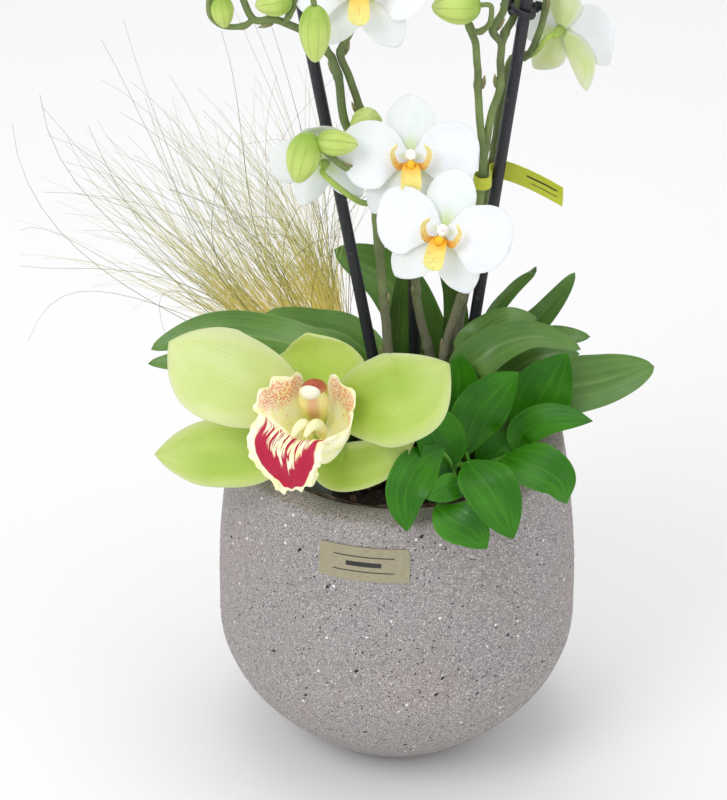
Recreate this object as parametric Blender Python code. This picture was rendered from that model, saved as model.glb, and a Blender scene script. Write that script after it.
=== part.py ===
"""A potted orchid: moth orchids, a cut cymbidium bloom, ruscus and feather grass in a stone-look pot.

Frame: +Z up, the front faces -Y, +X is to the right. The origin is the middle of the pot's foot, on the surface
that the pot stands on. Sizes are in millimetres and turned into metres where a mesh is made. Points of the plants
are given as (x, y, height above the planting level), and the soil's top lies at that level.
"""
from dataclasses import dataclass, replace

import bmesh
import bpy
import numpy as np
from mathutils import Matrix, Vector

MM = 0.001

# Pot
POT_HEIGHT = 153.0
POT_RADIUS = 80.0
RIM_RADIUS = 72.3
FOOT_RADIUS = 34.3
WALL = 12.0
FLOOR = 12.0
RIM_ROUND = 3.5
SIDES = 32
# Share of the pot's height, and share of the way from the foot's radius to the belly's, or from the rim's to it.
LOWER_OUTLINE = ((0.0, 0.0), (0.03, 0.166), (0.1, 0.433), (0.2, 0.744), (0.33, 0.965), (0.48, 1.0))
UPPER_OUTLINE = ((0.48, 1.0), (0.6, 0.94), (0.75, 0.72), (0.9, 0.34), (1.0, 0.0))

# What lies inside the pot. The plants' heights count from PLANTING_DEPTH below the rim.
PLANTING_DEPTH = 23.0
GAP = 0.3
SLOPE_ROOM = 0.1
LINER_THICKNESS = 0.4
LINER_DROP = 2.0
LINER_LIFT = 3.5
LINER_LIFT_ANGLE = -12.0
SOIL_DROP = 23.0

# Label on the pot's front
LABEL_WIDTH = 39.0
LABEL_HEIGHT = 15.5
LABEL_THICKNESS = 0.5
LABEL_MIDDLE = 132.0
LABEL_ANGLE = -101.4

# Stakes, clips and tag
STAKE_RADIUS = 2.5
STAKE_DEPTH = 38.0
CLIP_RADIUS = 1.1
CLIP_SPARE = 0.5
CLIP_SLACK = 0.6
CLIP_SIDES = 6
CLIP_WING_REACH = 4.4
CLIP_WING_RISE = 1.8
CLIP_WING_RADII = (1.3, 1.7, 1.0)
TAG_THICKNESS = 0.5
TAG_HEIGHT = 7.5
TAG_START = 143.0
TAG_END = 133.5
TAG_LINE = ((33.8, 5.6), (31.6, 4.2), (31.2, 1.0), (33.0, -1.6), (36.0, -1.6), (37.9, 0.6), (38.4, 4.0),
            (37.9, 8.0), (38.6, 12.0), (42.0, 14.2), (50.0, 13.4), (60.0, 10.5), (69.0, 7.0))

# Cut flower's tube
TUBE_RADIUS = 7.0
TUBE_WALL = 1.2
TUBE_TOP = 29.0
TUBE_DEPTH = 35.0
TUBE_COLLAR = 4.0
TUBE_FOOT = (-35.0, -33.0)
TUBE_SIDES = 12
CUT_THROUGH = 2.0
CUT_STEM_DEPTH = 20.0

# Plants
SPIKE_RADIUS = 2.2
BRANCH_RADIUS = 1.7
STALK_RADIUS = 1.25
LEAF_THICKNESS = 1.8
TWIG_RADIUS = 1.0
RUSCUS_THICKNESS = 0.8
PETAL_THICKNESS = 1.2
HUB_RADIUS = 3.2
BLOOM_HUB = (-34.5, -47.5, 57.5)
BLOOM_HUB_RADIUS = 4.6
COLUMN_CLEARANCE = 0.9
LIP_CLEARANCE = 1.6
LIP_UP = np.array((-0.2, -0.35, 0.9))

SOIL_TOP = POT_HEIGHT - SOIL_DROP
PLANT_LEVEL = POT_HEIGHT - PLANTING_DEPTH
SEAT = SOIL_TOP + GAP - PLANT_LEVEL
CUT_ABOVE_SOIL = 5.0


def clear_scene():
    """Remove every object that the file opened with."""
    for item in list(bpy.data.objects):
        bpy.data.objects.remove(item, do_unlink=True)


def finish(name, colour, roughness, metallic=0.0):
    """Return a Principled material of one colour."""
    material = bpy.data.materials.new(name)
    material.use_nodes = True
    shader = material.node_tree.nodes["Principled BSDF"]
    shader.inputs["Base Color"].default_value = (*colour, 1.0)
    shader.inputs["Roughness"].default_value = roughness
    shader.inputs["Metallic"].default_value = metallic
    material.diffuse_color = (*colour, 1.0)
    return material


def add_object(name, points, faces, material, place=(0.0, 0.0, 0.0), angle=40.0):
    """Make a named object of points in millimetres, set at a place that is also in millimetres."""
    mesh = bpy.data.meshes.new(name)
    mesh.from_pydata((np.asarray(points, float) * MM).tolist(), [], faces)
    shell = bmesh.new()
    shell.from_mesh(mesh)
    bmesh.ops.recalc_face_normals(shell, faces=shell.faces)
    shell.to_mesh(mesh)
    shell.free()
    mesh.materials.append(material)
    mesh.shade_smooth()
    mesh.set_sharp_from_angle(angle=np.radians(angle))
    item = bpy.data.objects.new(name, mesh)
    item.location = Vector(place) * MM
    bpy.context.collection.objects.link(item)
    return item


def planted(point=(0.0, 0.0, 0.0)):
    """Turn (x, y, height above the planting level) into a place in the pot's frame."""
    return np.array([point[0], point[1], point[2] + PLANT_LEVEL], float)


def unit(vector):
    """Return the vector at length one."""
    vector = np.asarray(vector, float)
    return vector / np.linalg.norm(vector, axis=-1, keepdims=True)


def smooth_path(points, count):
    """Return count points along the Catmull-Rom curve through the given points, evenly spaced by length."""
    knots = np.asarray(points, float)
    ends = np.vstack([2 * knots[0] - knots[1], knots, 2 * knots[-1] - knots[-2]])
    fine = np.linspace(0.0, len(knots) - 1.0, 16 * len(knots))
    span = np.minimum(fine.astype(int), len(knots) - 2)
    t = (fine - span)[:, None]
    a, b, c, d = (ends[span + step] for step in range(4))
    curve = 0.5 * (2 * b + (c - a) * t + (2 * a - 5 * b + 4 * c - d) * t**2 + (3 * b - 3 * c + d - a) * t**3)
    length = np.concatenate([[0.0], np.cumsum(np.linalg.norm(np.diff(curve, axis=0), axis=1))])
    even = np.linspace(0.0, length[-1], count)
    return np.stack([np.interp(even, length, curve[:, axis]) for axis in range(3)], axis=1)


def grid_faces(rings, sides, closed=True):
    """Return the quads between rings of points, each ring holding the same number of sides."""
    faces = []
    for ring in range(rings - 1):
        for side in range(sides if closed else sides - 1):
            after = (side + 1) % sides
            low = ring * sides
            faces.append((low + side, low + after, low + sides + after, low + sides + side))
    return faces


def tube_mesh(path, radii, sides=5):
    """Return points and faces of a capped round tube along a path."""
    path = np.asarray(path, float)
    tangent = unit(np.gradient(path, axis=0))
    start = np.cross(tangent[0], (0.0, 1.0, 0.0) if abs(tangent[0][1]) < 0.8 else (1.0, 0.0, 0.0))
    normals = [unit(start)]
    for direction in tangent[1:]:
        carried = normals[-1] - direction * np.dot(normals[-1], direction)
        normals.append(unit(carried))
    normal = np.array(normals)
    side = np.cross(tangent, normal)
    angle = np.linspace(0.0, 2 * np.pi, sides, endpoint=False)
    radius = np.broadcast_to(radii, len(path))[:, None, None]
    around = np.cos(angle)[None, :, None] * normal[:, None] + np.sin(angle)[None, :, None] * side[:, None]
    points = (path[:, None] + radius * around).reshape(-1, 3)
    faces = grid_faces(len(path), sides)
    faces.append(tuple(range(sides)))
    faces.append(tuple(range(len(points) - sides, len(points))))
    return points, faces


def turned_mesh(outline):
    """Return points and faces of a closed outline of (radius, height) turned about Z; radius 0 is a pole."""
    angle = np.linspace(0.0, 2 * np.pi, SIDES, endpoint=False)
    rings = [(r, z) for r, z in outline if r > 0.0]
    points = [(r * np.cos(a), r * np.sin(a), z) for r, z in rings for a in angle]
    faces = grid_faces(len(rings), SIDES)
    for ring, height in ((0, outline[0][1]), (len(rings) - 1, outline[-1][1])):
        points.append((0.0, 0.0, height))
        first = ring * SIDES
        faces += [(first + k, first + (k + 1) % SIDES, len(points) - 1) for k in range(SIDES)]
    return points, faces


def pot_radius(height):
    """Return the pot's outer radius at a height, by smooth interpolation of its outline."""
    share = height / POT_HEIGHT
    middle = LOWER_OUTLINE[-1][0]
    table, inner = (LOWER_OUTLINE, FOOT_RADIUS) if share <= middle else (UPPER_OUTLINE, RIM_RADIUS)
    at, value = np.array(table).T
    slope = np.gradient(value, at)
    slope[-1 if share <= middle else 0] = 0.0
    cell = int(np.clip(np.searchsorted(at, share) - 1, 0, len(at) - 2))
    width = at[cell + 1] - at[cell]
    t = (share - at[cell]) / width
    rise = (value[cell] * (2 * t**3 - 3 * t**2 + 1) + value[cell + 1] * (3 * t**2 - 2 * t**3)
            + width * (slope[cell] * (t**3 - 2 * t**2 + t) + slope[cell + 1] * (t**3 - t**2)))
    return inner + (POT_RADIUS - inner) * rise


WALL_LEVELS = (FLOOR, 0.2 * POT_HEIGHT, 0.4 * POT_HEIGHT, 0.65 * POT_HEIGHT, SOIL_TOP, POT_HEIGHT - RIM_ROUND)


def inside_radius(height, offset):
    """Return the radius at a distance inside the pot's inner wall, which is straight between its levels."""
    return float(np.interp(height, WALL_LEVELS, [pot_radius(level) - WALL for level in WALL_LEVELS])) - offset


def inside_outline(bottom, top, offset):
    """Return the outline of a thing that lines the pot's inner wall, from a bottom to a top height."""
    heights = [bottom] + [level for level in WALL_LEVELS if bottom + 1.0 < level < top - 1.0] + [top]
    return [(inside_radius(height, offset), height) for height in heights]


def make_pot(material):
    """Make the pot: flat foot, round belly, rounded rim, thick wall and floor."""
    shares = (0.0, 0.03, 0.07, 0.12, 0.18, 0.25, 0.33, 0.42, 0.52, 0.64, 0.76, 0.88)
    outline = [(0.0, 0.0)] + [(pot_radius(s * POT_HEIGHT), s * POT_HEIGHT) for s in shares]
    below_rim = POT_HEIGHT - RIM_ROUND
    arc = np.radians((0.0, 35.0, 65.0, 90.0))
    outline += [(pot_radius(below_rim) - RIM_ROUND * (1 - np.cos(a)), below_rim + RIM_ROUND * np.sin(a))
                for a in arc]
    inner = pot_radius(below_rim) - WALL
    outline += [(inner + RIM_ROUND * (1 - np.cos(a)), below_rim + RIM_ROUND * np.sin(a)) for a in arc[:0:-1]]
    outline += inside_outline(FLOOR, below_rim, 0.0)[::-1]
    outline.append((0.0, FLOOR))
    return add_object("pot", *turned_mesh(outline), material)


def make_liner(material):
    """Make the film bag that lines the pot; its edge rises above the rim on one side."""
    top = POT_HEIGHT - LINER_DROP
    outer = inside_outline(FLOOR + GAP, top, GAP + SLOPE_ROOM)
    inner = inside_outline(FLOOR + GAP + LINER_THICKNESS, top, GAP + SLOPE_ROOM + LINER_THICKNESS)
    outline = [(0.0, outer[0][1])] + outer + inner[::-1] + [(0.0, inner[0][1])]
    points, faces = turned_mesh(outline)
    points = np.array(points)
    edge = points[:, 2] > top - 0.01
    turn = np.arctan2(points[:, 1], points[:, 0]) - np.radians(LINER_LIFT_ANGLE)
    points[edge, 2] += LINER_LIFT * np.clip(np.cos(turn[edge]), 0.0, 1.0) ** 6
    return add_object("liner", points, faces, material)


def make_soil(material, holes):
    """Make the potting mix that fills the liner, with a hole for each thing pushed into it."""
    bottom = FLOOR + 2 * GAP + LINER_THICKNESS
    outline = inside_outline(bottom, SOIL_TOP, 2 * (GAP + SLOPE_ROOM) + LINER_THICKNESS)
    soil = add_object("soil", *turned_mesh([(0.0, bottom)] + outline + [(0.0, SOIL_TOP)]), material)
    for hole in holes:
        cut = soil.modifiers.new(hole.name, "BOOLEAN")
        cut.operation = "DIFFERENCE"
        cut.object = hole
    return soil


def make_label(material):
    """Make the sticker, bent to the pot's front."""
    turns = np.radians(LABEL_ANGLE) + np.linspace(-0.5, 0.5, 9) * LABEL_WIDTH / pot_radius(LABEL_MIDDLE)
    heights = LABEL_MIDDLE + np.array((-0.5, 0.0, 0.5)) * LABEL_HEIGHT
    points = []
    for lift in (GAP, GAP + LABEL_THICKNESS):
        points += [((pot_radius(z) + lift) * np.cos(a), (pot_radius(z) + lift) * np.sin(a), z)
                   for z in heights for a in turns]
    return slab("pot_label", points, len(heights), len(turns), material)


def slab(name, points, rows, columns, material):
    """Make a closed slab from two grids of points: its back face, then its front face."""
    back = grid_faces(rows, columns, closed=False)
    front = [tuple(rows * columns + index for index in face) for face in back]
    edge = [row * columns for row in range(rows)] + [(rows - 1) * columns + k for k in range(1, columns)]
    edge += [row * columns + columns - 1 for row in range(rows - 2, -1, -1)] + list(range(columns - 2, 0, -1))
    walls = [(a, b, b + rows * columns, a + rows * columns) for a, b in zip(edge, edge[1:] + edge[:1])]
    return add_object(name, points, back + front + walls, material)


@dataclass(frozen=True)
class Stake:
    """A straight stick: where it crosses the planting level, its lean per millimetre of height, and its top."""

    name: str
    foot: tuple
    lean: tuple
    top: float

    def at(self, height):
        """Return the stick's middle at a height above the planting level."""
        return planted((self.foot[0] + self.lean[0] * height, self.foot[1] + self.lean[1] * height, height))

    def build(self, material):
        """Make the stick."""
        path = np.array([self.at(-STAKE_DEPTH), self.at(0.0), self.at(self.top)])
        return add_object(self.name, *tube_mesh(path, STAKE_RADIUS, 10), material)

    def hole(self):
        """Make the cutter of the stick's hole in the soil."""
        path = np.array([self.at(-STAKE_DEPTH - GAP), self.at(SEAT + CUT_ABOVE_SOIL)])
        cutter = add_object(f"{self.name}_hole", *tube_mesh(path, STAKE_RADIUS + GAP, 10), None)
        return hide_guide(cutter)


def hide_guide(item):
    """Mark an object as a guide that isn't part of the model."""
    item.hide_render = True
    item.display_type = "WIRE"
    return item


STAKES = (
    Stake("stake_left", (-1.2, 8.0), (-0.173, -0.036), 297.0),
    Stake("stake_centre", (8.4, 24.0), (-0.018, -0.05), 140.0),
    Stake("stake_right", (24.8, 14.7), (0.118, -0.039), 297.0),
)


@dataclass(frozen=True)
class Blade:
    """A leaf or petal: a thin lens-shaped solid along a curve.

    Its half-width rises from a share of its widest at the base, by a quarter sine, and falls to a point by
    (1 - s squared) to a power. Across, it is bent round an arc of the cup angle, towards its facing side.
    """

    name: str
    spine: tuple
    width: float
    facing: tuple
    tip_facing: tuple = None
    base: float = 0.3
    widest: float = 0.5
    point: float = 0.8
    cup: float = 0.0
    thickness: float = LEAF_THICKNESS
    rows: int = 8
    columns: int = 4

    def half_width(self, u):
        """Return the half-width at shares of the length."""
        rise = self.base + (1 - self.base) * np.sin(0.5 * np.pi * np.minimum(u / self.widest, 1.0))
        s = np.clip((u - self.widest) / (1 - self.widest), 0.0, 1.0)
        return 0.5 * self.width * rise * (1 - s**2) ** self.point

    def surface(self, lift):
        """Return the grid of points at a lift along the facing side, rows along and columns across."""
        path = smooth_path(self.spine, self.rows + 1)
        tangent = unit(np.gradient(path, axis=0))
        u = np.linspace(0.0, 1.0, self.rows + 1)[:, None]
        tip_facing = self.facing if self.tip_facing is None else self.tip_facing
        normal = (1 - u) * unit(self.facing) + u * unit(tip_facing)
        normal = unit(normal - tangent * np.sum(normal * tangent, axis=1, keepdims=True))
        side = np.cross(tangent, normal)
        v = np.linspace(-1.0, 1.0, self.columns + 1)
        half = self.half_width(u[:, 0])[:, None]
        bend = max(abs(self.cup), 1e-3)
        across = half * np.sin(v * bend)[None] / bend
        height = half * (1 - np.cos(v * bend))[None] / bend * np.sign(self.cup or 1.0)
        height = height + lift * (1 - v**2)[None]
        return path[:, None] + across[..., None] * side[:, None] + height[..., None] * normal[:, None]

    def mesh(self):
        """Return points and faces of the closed solid."""
        top = self.surface(0.5 * self.thickness)
        bottom = self.surface(-0.5 * self.thickness)
        loops = np.concatenate([top, bottom[:, -2:0:-1]], axis=1)[:-1]
        sides = loops.shape[1]
        points = np.vstack([loops.reshape(-1, 3), top[-1, :1]])
        faces = grid_faces(self.rows, sides)
        last = (self.rows - 1) * sides
        faces += [(last + k, last + (k + 1) % sides, len(points) - 1) for k in range(sides)]
        wide = self.columns
        faces.append((0, 1, sides - 1))
        faces += [(k, k + 1, sides - k - 1, sides - k) for k in range(1, wide - 1)]
        faces.append((wide - 1, wide, wide + 1))
        return points, faces

    def build(self, material):
        """Make the blade with its origin at its base; none of it sinks into the soil."""
        points, faces = self.mesh()
        points[:, 2] = np.maximum(points[:, 2], SEAT)
        place = planted((*self.spine[0][:2], 0.0))
        points[:, :2] -= place[:2]
        return add_object(self.name, points, faces, material, place, angle=60.0)


MOUTH_RADIUS = 60.8


def soil_seat(x, y):
    """Return the point where a leaf leaves the soil, tied to the pot's mouth; x and y suit MOUTH_RADIUS."""
    room = inside_radius(WALL_LEVELS[-1], 0.0) / MOUTH_RADIUS
    return (x * room, y * room, SEAT)


UP = (0.0, -0.25, 1.0)
OUT = (0.1, -0.8, 0.55)
STRAP_LEAVES = (
    Blade("left_leaf_front", (soil_seat(-17, 9), (-19, 7, 34), (-34, 9, 54), (-56, 14, 60), (-80, 12, 64),
                              (-107, 2, 62)), 24, (0.9, -0.3, 0.3), UP, base=0.4, cup=0.35),
    Blade("left_leaf_low", (soil_seat(-21, -2), (-26, -1, 32), (-47, 0, 47), (-73, -2, 56), (-108, -5, 59)),
          20, (0.9, -0.3, 0.3), UP, base=0.4, cup=0.35),
    Blade("left_leaf_back", (soil_seat(-9, 20), (-9, 22, 38), (-21, 26.5, 54), (-39, 28, 59), (-58, 27.5, 66)),
          20, (-0.8, -0.5, 0.3), (0.1, -0.5, 0.9), base=0.4, cup=0.35),
    Blade("rear_leaf_broad", (soil_seat(10, 40), (11, 41, 36), (6, 42, 56), (-6, 44, 75), (-28, 42, 90)),
          27, OUT, (0.35, -0.8, 0.5), base=0.4, cup=0.4),
    Blade("rear_leaf_slim", (soil_seat(-2, 27), (-1, 28, 40), (0, 30, 62), (2, 31, 90)),
          12, (0.5, -0.8, 0.2), base=0.6, cup=0.4),
    Blade("rear_leaf_right", (soil_seat(26, 36), (27, 36, 42), (28, 35, 58), (26, 36, 74), (19, 37, 92)),
          15, (-0.5, -0.7, 0.3), base=0.5, cup=0.7),
    Blade("right_leaf_withered", (soil_seat(36, 25), (36, 26, 46), (40, 27, 64), (49, 28, 77), (58, 28, 86),
                                  (60, 24, 91)), 9, (0.5, -0.6, 0.5), base=0.7, cup=0.6, point=0.6),
    Blade("right_leaf_pointed", (soil_seat(41, 30), (45, 32, 44), (60, 33, 58), (69, 34, 69), (78, 36, 82)),
          13, (0.2, -0.8, 0.5), base=0.5, cup=0.5),
    Blade("right_leaf_upper", (soil_seat(33, 5), (30, 4, 50), (34, 3, 66), (46, 2, 77), (60, 3, 77)),
          17, (0.9, -0.3, 0.3), UP, base=0.5, cup=0.35),
    Blade("right_leaf_middle", (soil_seat(27, -11), (25, -12, 48), (36, -11, 66), (56, -9, 74), (78, -10, 69)),
          20, (0.8, -0.5, 0.3), (0.2, -0.3, 1.0), base=0.4, cup=0.35),
    Blade("right_leaf_arched", (soil_seat(42, 14), (42, 14, 36), (48, 14, 50), (66, 14, 60), (84, 14, 62)),
          16, (0.8, -0.5, 0.3), (0.0, -0.35, 0.9), base=0.5, cup=0.35),
    Blade("right_leaf_under", (soil_seat(40, 2), (39, 2, 32), (48, 2, 49), (62, 3, 58), (79, 4, 59)),
          13, (0.8, -0.5, 0.3), (0.0, -0.35, 0.9), base=0.5, cup=0.35),
    Blade("right_leaf_long", (soil_seat(46, -11), (46, -12, 33), (66, -11, 48), (89, -7, 52), (111, 0, 55)),
          26, (0.6, -0.7, 0.4), (-0.1, -0.65, 0.75), base=0.4, cup=0.3),
)
RUSCUS_LEAVES = (
    Blade("ruscus_back_left", ((22, -22, 27), (25, -20, 48), (26, -16, 70)), 15, (0.2, -0.9, 0.3)),
    Blade("ruscus_centre", ((28, -38, 33), (32, -37, 51), (41, -35, 63), (50, -34, 72)), 22,
          (0.3, -0.9, 0.2), (0.1, -0.8, 0.6)),
    Blade("ruscus_back_right", ((52, -19, 30), (58, -18, 46), (69, -16, 66)), 22, (-0.3, -0.9, 0.3)),
    Blade("ruscus_twisted", ((50, -28, 28), (53, -30, 40), (65, -33, 48), (82, -38, 50)), 14,
          (0.2, -0.7, 0.6), (-0.3, -0.5, 0.8)),
    Blade("ruscus_inner", ((34, -29, 21), (42, -27, 31), (51, -24, 35)), 12, (0.2, -0.8, 0.5)),
    Blade("ruscus_rim_right", ((44, -46, 38), (55, -58, 41), (66, -64, 37), (70, -65, 26)), 20,
          (0.1, -0.6, 0.8), (0.5, -0.7, 0.5)),
    Blade("ruscus_left_tip", ((18, -55, 48), (8, -66, 45), (2, -75, 37), (3, -80, 22)), 17,
          (0.1, -0.5, 0.9), (0.2, -0.9, 0.3)),
    Blade("ruscus_left_cup", ((19.5, -50.5, 30.5), (17, -51, 43), (12, -52, 55), (3, -51, 62)), 17,
          (0.4, -0.8, 0.3), (0.5, -0.6, 0.6), cup=0.6),
    Blade("ruscus_low_slim", ((27, -67, 37), (20, -73, 39), (11, -77, 36)), 11, (0.0, -0.7, 0.7)),
    Blade("ruscus_front", ((28, -60, 44), (35, -75, 43), (41, -81, 35), (47, -84, 21)), 21,
          (0.1, -0.5, 0.9), (0.4, -0.9, 0.3)),
    Blade("ruscus_lowest", ((15, -74, 31), (21, -81, 29), (29, -85, 26), (36, -88, 19)), 17,
          (0.1, -0.6, 0.8), (0.3, -0.9, 0.3)),
)
# Each shoot's twigs: their points, and the leaf that the last point runs on to.
TWIGS = {
    "ruscus_twig_front": (
        (((26, -44, SEAT), (25, -47, 20), (22, -53, 38)), "ruscus_left_tip"),
        (((23, -50, 32), (24, -54, 38)), "ruscus_front"),
        (((25, -47, 20), (22.5, -48, 23)), "ruscus_left_cup"),
        (((25, -47, 20), (26, -56, 30)), "ruscus_low_slim"),
        (((25, -47, 20), (22, -56, 27), (18, -66, 30.5)), "ruscus_lowest"),
    ),
    "ruscus_twig_middle": (
        (((34, -33, SEAT), (32, -35, 18)), "ruscus_centre"),
        (((32, -35, 18), (27, -28, 22)), "ruscus_back_left"),
        (((32, -35, 18), (37, -40, 30)), "ruscus_rim_right"),
        (((33, -34, 10), (34, -31, 15)), "ruscus_inner"),
    ),
    "ruscus_twig_rear": (
        (((46, -20, SEAT), (47, -21, 12)), "ruscus_twisted"),
        (((47, -21, 12), (49, -18, 22)), "ruscus_back_right"),
    ),
}

# How far a twig's end stays from its leaf, beyond the gap, as a share of its radius.
TWIG_END = 0.7

BLOOM = (
    Blade("cymbidium_dorsal_sepal", ((-35, -41.8, 66.5), (-33.8, -35, 75), (-34, -35, 88), (-38, -44, 100)), 36,
          (-0.2, -0.9, 0.4), (-0.2, -0.7, -0.6), cup=0.5, base=0.2),
    Blade("cymbidium_left_petal", ((-40, -48.5, 61), (-57, -50, 72), (-77, -44, 78), (-96, -35, 86)), 37,
          (-0.2, -0.8, 0.5), (-0.3, -0.7, 0.6), cup=0.35, base=0.25),
    Blade("cymbidium_right_petal", ((-28, -47.5, 60), (-14, -55.5, 74), (4, -62, 82), (21, -62, 91)), 35,
          (-0.3, -0.75, 0.6), (-0.1, -0.8, 0.6), cup=0.35, base=0.18),
    Blade("cymbidium_left_sepal", ((-40, -48, 54), (-56, -47, 42), (-78, -44, 37), (-103, -37, 31)), 31,
          (-0.3, -0.7, 0.6), (-0.2, -0.75, 0.6), cup=0.35, base=0.25),
    Blade("cymbidium_right_sepal", ((-30, -49, 52), (-22, -56, 40), (-11, -60, 39), (0, -60, 50)), 24,
          (-0.1, -0.6, 0.8), (0.0, -0.75, 0.6), cup=0.6, base=0.3),
)
COLUMN_RADII = (3.0, 4.4, 5.2, 5.6, 3.2)
# The lip's half-width along its arc and the arc's half-angle: at its root, and at points along its middle.
LIP_ROOT = (3.5, 1.3)
LIP_ROWS = (
    ((-35.5, -57, 55), 15.0, 1.7), ((-36.5, -63, 57), 27.0, 1.7), ((-38, -70, 58.5), 16.0, 1.0),
    ((-40, -76, 56), 15.0, 0.4), ((-41.5, -79, 49), 14.5, -0.25), ((-42, -79, 41), 8.0, -0.4),
)
# The moth orchid's parts, about its middle: x to its right, y up and z the way that it faces.
MOTH_HUB_LEVELS = (-HUB_RADIUS, -2.0, 1.0, 5.0, 8.5)
MOTH_HUB_RADII = (1.4, 2.6, 2.8, 2.2, 1.6)
MOTH_PARTS = (
    Blade("sepal", ((0, 1.5, -1), (0, 13, -1.4), (0, 25.5, -3)), 18, (0, 0, 1), cup=0.2, rows=4, columns=2),
    Blade("sepal", ((-0.9, -1.2, -1), (-9, -11, -1.2), (-15, -21, -3)), 17, (0, 0, 1), cup=0.2, rows=5,
          columns=2),
    Blade("sepal", ((0.9, -1.2, -1), (9, -11, -1.2), (15, -21, -3)), 17, (0, 0, 1), cup=0.2, rows=4, columns=2),
    Blade("petal", ((-1.5, 0.4, 0.8), (-13, 3.5, 2.6), (-26.5, 3, 1)), 26, (0, 0, 1), cup=0.2, rows=4, columns=2,
          widest=0.6, point=0.5, base=0.15),
    Blade("petal", ((1.5, 0.4, 0.8), (13, 3.5, 2.6), (26.5, 3, 1)), 26, (0, 0, 1), cup=0.2, rows=4, columns=2,
          widest=0.6, point=0.5, base=0.15),
    Blade("lip", ((0, -1, 1), (0, -4, 7), (0, -9, 9), (0, -15, 6)), 13, (0, 1, 0.6), (0, 0.3, 1), cup=0.9,
          rows=4, columns=2, widest=0.3, base=0.5, point=1.2, thickness=1.6),
)


@dataclass(frozen=True)
class Flower:
    """A moth orchid flower: its middle, the way it faces, and the way its top sepal points."""

    name: str
    middle: tuple
    facing: tuple
    up: tuple = (0.0, 0.0, 1.0)
    size: float = 1.0

    def frame(self):
        """Return the flower's right, up and facing directions."""
        facing = unit(self.facing)
        right = unit(np.cross(self.up, facing))
        return right, np.cross(facing, right), facing

    def seat(self, distance):
        """Return the point a distance behind the flower's middle, above the soil."""
        return tuple(np.array(self.middle, float) - unit(self.facing) * distance * self.size)

    def build(self, mesh):
        """Place a flower that shares the given mesh."""
        item = bpy.data.objects.new(self.name, mesh)
        turn = Matrix(np.array(self.frame()).T.tolist()).to_4x4()
        place = Matrix.Translation(Vector(planted(self.middle)) * MM)
        item.matrix_world = place @ turn @ Matrix.Scale(self.size, 4)
        bpy.context.collection.objects.link(item)
        return item


FLOWERS = {
    flower.name: flower for flower in (
        Flower("orchid_flower_middle", (4, -28, 168), (0.0, -0.87, 0.5)),
        Flower("orchid_flower_lower", (17, -50, 146), (-0.15, -0.9, 0.4), (0.15, 0.0, 1.0)),
        Flower("orchid_flower_turned", (-31, -21, 163), (0.0, 1.0, 0.15), (-0.17, 0.1, 1.0), 0.8),
        Flower("orchid_flower_left", (-16, -13, 235), (-0.05, -0.87, 0.5)),
        Flower("orchid_flower_side", (67, 17, 205), (0.7, 0.68, 0.1)),
        Flower("orchid_flower_top_left", (-55, -20, 285), (-0.35, -0.85, 0.35)),
        Flower("orchid_flower_top", (10, -16, 282), (-0.1, -0.88, 0.45)),
        Flower("orchid_flower_top_right", (66, -14, 266), (0.4, -0.85, 0.35)),
    )
}


@dataclass(frozen=True)
class Spike:
    """A flower spike: its stems as (points, radius), flower stalks to named flowers, and buds."""

    name: str
    stems: tuple
    stalks: dict
    buds: tuple

    def build(self, material):
        """Join the stems, stalks and buds into one solid."""
        pieces = []
        for points, radius in self.stems:
            path = smooth_path(points, len(points) + 2)
            pieces.append(tube_mesh(path, radius * np.linspace(1.0, STEM_TAPER, len(path))))
        for flower, points in self.stalks.items():
            far, near = (FLOWERS[flower].seat(HUB_RADIUS + GAP + lead) for lead in (STALK_LEAD, 0.0))
            pieces.append(tube_mesh((*smooth_path((*points, far), len(points) + 2), near), STALK_RADIUS, 5))
        for base, tip, radius in self.buds:
            pieces.append(bud_mesh(base, tip, radius))
        return fuse(self.name, pieces, material, planted())


BUD_LEVELS = np.array((0.0, 0.12, 0.4, 0.75, 1.0))
BUD_GIRTHS = np.array((0.25, 0.7, 1.0, 0.72, 0.08))
STALK_LEAD = 5.0
STEM_TAPER = 0.8


def bud_mesh(base, tip, radius):
    """Return points and faces of a bud: a pointed egg between two points."""
    path = np.asarray(base, float) + BUD_LEVELS[:, None] * (np.asarray(tip, float) - base)
    return tube_mesh(path, radius * BUD_GIRTHS, 6)


def fuse(name, pieces, material, place=(0.0, 0.0, 0.0)):
    """Join overlapping closed meshes into one solid with Boolean unions."""
    whole = add_object(name, *pieces[0], material, place)
    guides = []
    for index, (points, faces) in enumerate(pieces[1:]):
        guide = add_object(f"{name}_{index}", points, faces, material, place)
        union = whole.modifiers.new(guide.name, "BOOLEAN")
        union.operation = "UNION"
        union.object = guide
        guides.append(guide)
    bpy.context.view_layer.update()
    joined = bpy.data.meshes.new_from_object(whole.evaluated_get(bpy.context.evaluated_depsgraph_get()))
    whole.modifiers.clear()
    whole.data = joined
    joined.name = name
    joined.set_sharp_from_angle(angle=np.radians(60.0))
    for guide in guides:
        bpy.data.objects.remove(guide, do_unlink=True)
    return whole


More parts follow.
